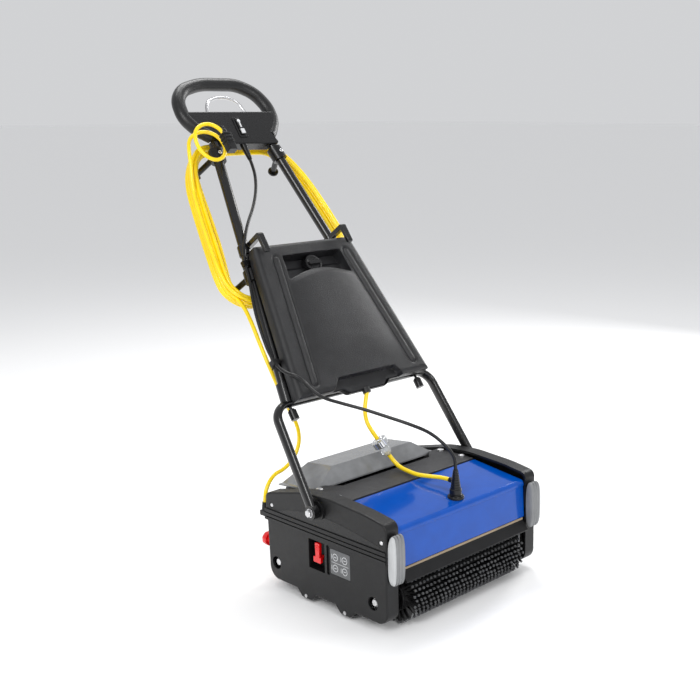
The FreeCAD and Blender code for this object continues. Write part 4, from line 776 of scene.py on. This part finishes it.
def bolts():
    """Pivot bolts with hexagon heads and washers."""
    parts = []
    for _, sign in SIDES:
        parts.append(lathe([(9, 0), (9, 1.2)], (sign * 240.6, 12, 207), (sign, 0, 0), 32))
        parts.append(lathe([(8.2, 0), (8.2, 4.2), (7.2, 5.4), (4, 5.4)], (sign * 241.8, 12, 207),
                           (sign, 0, 0), 6))
        parts.append(lathe([(6, 0), (6, 29)], (sign * 213, 12, 207), (sign, 0, 0), 28))
    return joined(*parts)


finished("hinge_bolts", mesh_from("hinge_bolts", *bolts(), HEAD), STEEL, "head", ["pivot_bolts"],
         bevel=0.4, crease=30)


# ---------------------------------------------------------------- solution tank

TANK_LOW, TANK_HIGH = 217.0, 566.0
TANK_FRONT = -54.0


def step(low, high, value):
    t = min(1.0, max(0.0, (value - low) / (high - low)))
    return t * t * (3 - 2 * t)


def distance_to(x, z, a, b):
    ax, az = a
    bx, bz = b
    length2 = (bx - ax) ** 2 + (bz - az) ** 2
    t = min(1.0, max(0.0, ((x - ax) * (bx - ax) + (z - az) * (bz - az)) / length2))
    return math.hypot(x - ax - t * (bx - ax), z - az - t * (bz - az))


def tank_half(z):
    return 187.0 - (z - TANK_LOW) * 52.0 / (TANK_HIGH - TANK_LOW)


def tank_floor(x):
    return 217.0 - 11.0 * step(64, 46, abs(x - 4))


def tank_depth(x, z):
    """How far the front stands from the plane of the tubes: recess, dome, ribs and notch."""
    edge = min(tank_half(z) - abs(x), TANK_HIGH - z, z - tank_floor(x) + 1.5)
    depth = TANK_FRONT + 5.0
    left_rib, right_rib = ((-90, 528), (-133, 243)), ((105, 528), (150, 246))
    rib_left = -90 - (528 - z) * 0.151
    rib_right = 105 + (528 - z) * 0.16
    arch = 474 + 22 * math.cos(math.pi * min(1.0, max(-1.0, (x - 6) / 95)) / 2)
    middle, half = (rib_left + rib_right) / 2, (rib_right - rib_left) / 2 - 13
    across = min(1.0, abs((x - middle) / half))
    depth -= (5.0 * step(225, 330, z) + 1.0) * (1 - across ** 3) * step(arch + 4, arch - 16, z)
    for rib in (left_rib, right_rib):
        away = distance_to(x, z, *rib)
        depth -= 2.4 * step(5.2, 2.6, away)
        depth += 2.6 * step(4.2, 1.0, abs(away - 8.4))
    left, right = -74 - (533 - z) * 0.1, 88 + (533 - z) * 0.1
    inside = step(0, 4, x - left) * step(0, 4, right - x) * step(0, 4, 535 - z) * step(-1, 3, z - arch)
    depth += 25.0 * inside - 6.0 * inside * step(512, 506, z)
    notch_left, notch_right = -100 + (z - 208) * 0.86, 111 - (z - 208) * 0.7
    depth += 13.0 * step(0, 3, x - notch_left) * step(0, 3, notch_right - x) * step(241, 238, z)
    radius = 12.0
    if edge < radius:
        reach = radius - max(0.0, edge)
        depth += radius - math.sqrt(max(0.0, radius * radius - reach * reach))
    return depth


def tank_mesh():
    columns, rows = 190, 190
    vertices, faces = [], []

    def spread(count):
        inner = [k / (count - 1) for k in range(count)]
        middle = [0.024 + 0.952 * share for share in inner]
        return [0.0, 0.0012, 0.004, 0.009, 0.016] + middle + [0.984, 0.991, 0.996, 0.9988, 1.0]

    us, vs = spread(columns), spread(rows)
    for v in vs:
        for u in us:
            x_guess = (2 * u - 1) * 170
            low = tank_floor(x_guess)
            z = low + (TANK_HIGH - low) * v
            corner = max(0.0, abs(2 * u - 1) - 0.94) / 0.06
            x = (2 * u - 1) * tank_half(z)
            if v > 0.955:
                drop = 16 - math.sqrt(max(0.0, 256 - (16 * min(1.0, corner)) ** 2))
                z -= drop * (v - 0.955) / 0.045
            vertices.append((x, tank_depth(x, z), z))
    width, height = len(us), len(vs)
    for j in range(height - 1):
        for i in range(width - 1):
            a = j * width + i
            faces.append((a, a + 1, a + 1 + width, a + width))
    rim = [i for i in range(width)]
    rim += [j * width + width - 1 for j in range(1, height)]
    rim += [(height - 1) * width + i for i in range(width - 2, -1, -1)]
    rim += [j * width for j in range(height - 2, 0, -1)]
    loops = [rim]
    for depth, inset in ((-34.0, 0.0), (-24.0, 0.0), (-21.0, 1.2), (-18.8, 3.4), (-18.0, 6.5)):
        loop = []
        for index in rim:
            x, _, z = vertices[index]
            middle = 390.0
            shrink_x = inset / 180.0
            shrink_z = inset / 175.0
            loop.append(len(vertices))
            vertices.append((x * (1 - shrink_x), depth, middle + (z - middle) * (1 - shrink_z)))
        loops.append(loop)
    for a, b in zip(loops, loops[1:]):
        count = len(a)
        for i in range(count):
            j = (i + 1) % count
            faces.append((a[i], a[j], b[j], b[i]))
    faces.append(tuple(loops[-1]))
    spout = lathe([(9, 0), (9, 12)], (0, -30, 199), (0, 0, 1), 32)
    return joined((vertices, faces), spout)


finished("water_tank", mesh_from("water_tank", *tank_mesh(), HANDLE), TANK_BLACK, "handle",
         ["solution_tank"], crease=50)


def filler_cap():
    """A knurled screw cap with a raised bar."""
    vertices, faces = lathe([(19.0, -4), (19.0, 6), (21.5, 6.6), (21.5, 17), (20, 19.4), (16, 20),
                             (14.5, 18.6), (2, 18.6)],
                            (4, -26, 510), (0, -1, 0), 90)
    shaped = []
    for k, vertex in enumerate(vertices):
        grow = 0.965 if (k % 90) % 3 == 0 and 90 * 2 <= k < 90 * 5 else 1.0
        centre = Vector((4, vertex.y, 510))
        shaped.append(centre + (vertex - centre) * grow)
    bar = slab(rounded([(-12, 506, 2), (20, 506, 2), (20, 514, 2), (-12, 514, 2)]), "xz", -51, -44)
    return joined((shaped, faces), bar)


finished("screw_cap", mesh_from("screw_cap", *filler_cap(), HANDLE), BLACK_SMOOTH, "cap",
         ["filler_cap"], bevel=0.4)



def tank_hooks():
    """Brackets on the tubes: a ring, an arm over the tank's top corner and a thick rounded lip."""
    parts = []
    for _, sign in SIDES:
        x = sign * (179.5 - 0.1643 * (580 - 226) - 6)
        centre = Vector((sign * (179.5 - 0.1643 * (579 - 226)), 0, 579))
        lean = Vector((-sign * 0.1643, 0, 1)).normalized()
        parts.append(lathe([(11.05, -12.5), (14, -12.5), (14, 12.5), (11.05, 12.5)], centre, lean, 36))
        arm = rounded([(-10, 578, 2), (-10, 589, 2), (-62, 589, 9), (-66, 584, 3), (-66, 543, 5),
                       (-57, 541, 4), (-55.5, 578, 3)])
        parts.append(slab(arm, "yz", x - 7, x + 7))
    return joined(*parts)


finished("tank_brackets", mesh_from("tank_brackets", *tank_hooks(), HANDLE), PAINT, "handle",
         ["tank_hooks"], bevel=2.2, segments=4)

PANEL = (
    (-60, 841, 6), (94, 838, 6), (84, 868), (96, 880), (115, 908), (116.3, 926), (-124, 926), (-125, 918),
    (-104, 886), (-76, 868),
)
finished("switch_housing", mesh_from("switch_housing", *slab(rounded(PANEL), "xz", -14.5, 14.5), HANDLE),
         BLACK_SMOOTH, "handle", ["grip_panel"], bevel=3.0, segments=4)
finished("switch_frame", mesh_from("switch_frame", *window_slab(
    rounded([(-11, 856, 4), (13, 856, 4), (13, 909, 4), (-11, 909, 4)]),
    rounded([(-6.3, 861.2, 2), (8.3, 861.2, 2), (8.3, 904.8, 2), (-6.3, 904.8, 2)]), "xz", -16.2, -13,
), HANDLE), BLACK_SMOOTH, "handle", bevel=0.8)
switch = joined(
    slab(rounded([(-5.5, 862, 2), (7.5, 862, 2), (7.5, 904, 2), (-5.5, 904, 2)]), "xz", -18.5, -8),
)
finished("switch_key", mesh_from("switch_key", *switch, HANDLE), BLACK_SMOOTH, "button",
         ["safety_button"], bevel=1.0)
marks = joined(
    lathe([(4.2, 0), (4.2, 1.6), (3.2, 2.2)], (1, -18, 897), (0, -1, 0), 24),
    slab(rounded([(-0.6, 880, 0.8), (2.6, 880, 0.8), (2.6, 893, 0.8), (-0.6, 893, 0.8)]), "xz", -20.4, -18),
    slab(rounded([(-4, 864, 1.2), (6, 864, 1.2), (6, 876, 1.2), (-4, 876, 1.2)]), "xz", -20.6, -18),
)
finished("switch_marks", mesh_from("switch_marks", *marks, HANDLE), GLYPH, "button",
         bevel=0.4)


def collar_screws():
    """Cross-head screws on the front of the four cord-hook collars."""
    parts = []
    for _, sign in SIDES:
        for z in (817.0, 517.0):
            x = sign * (179.5 - 0.1643 * (z - 226))
            parts.append(screw_head((x + sign * 2, -16.4, z), (0, -1, 0), 4.2, 2.2))
    return joined(*parts)


finished("collar_screws", mesh_from("collar_screws", *collar_screws(), HANDLE), STEEL, "handle",
         crease=30)
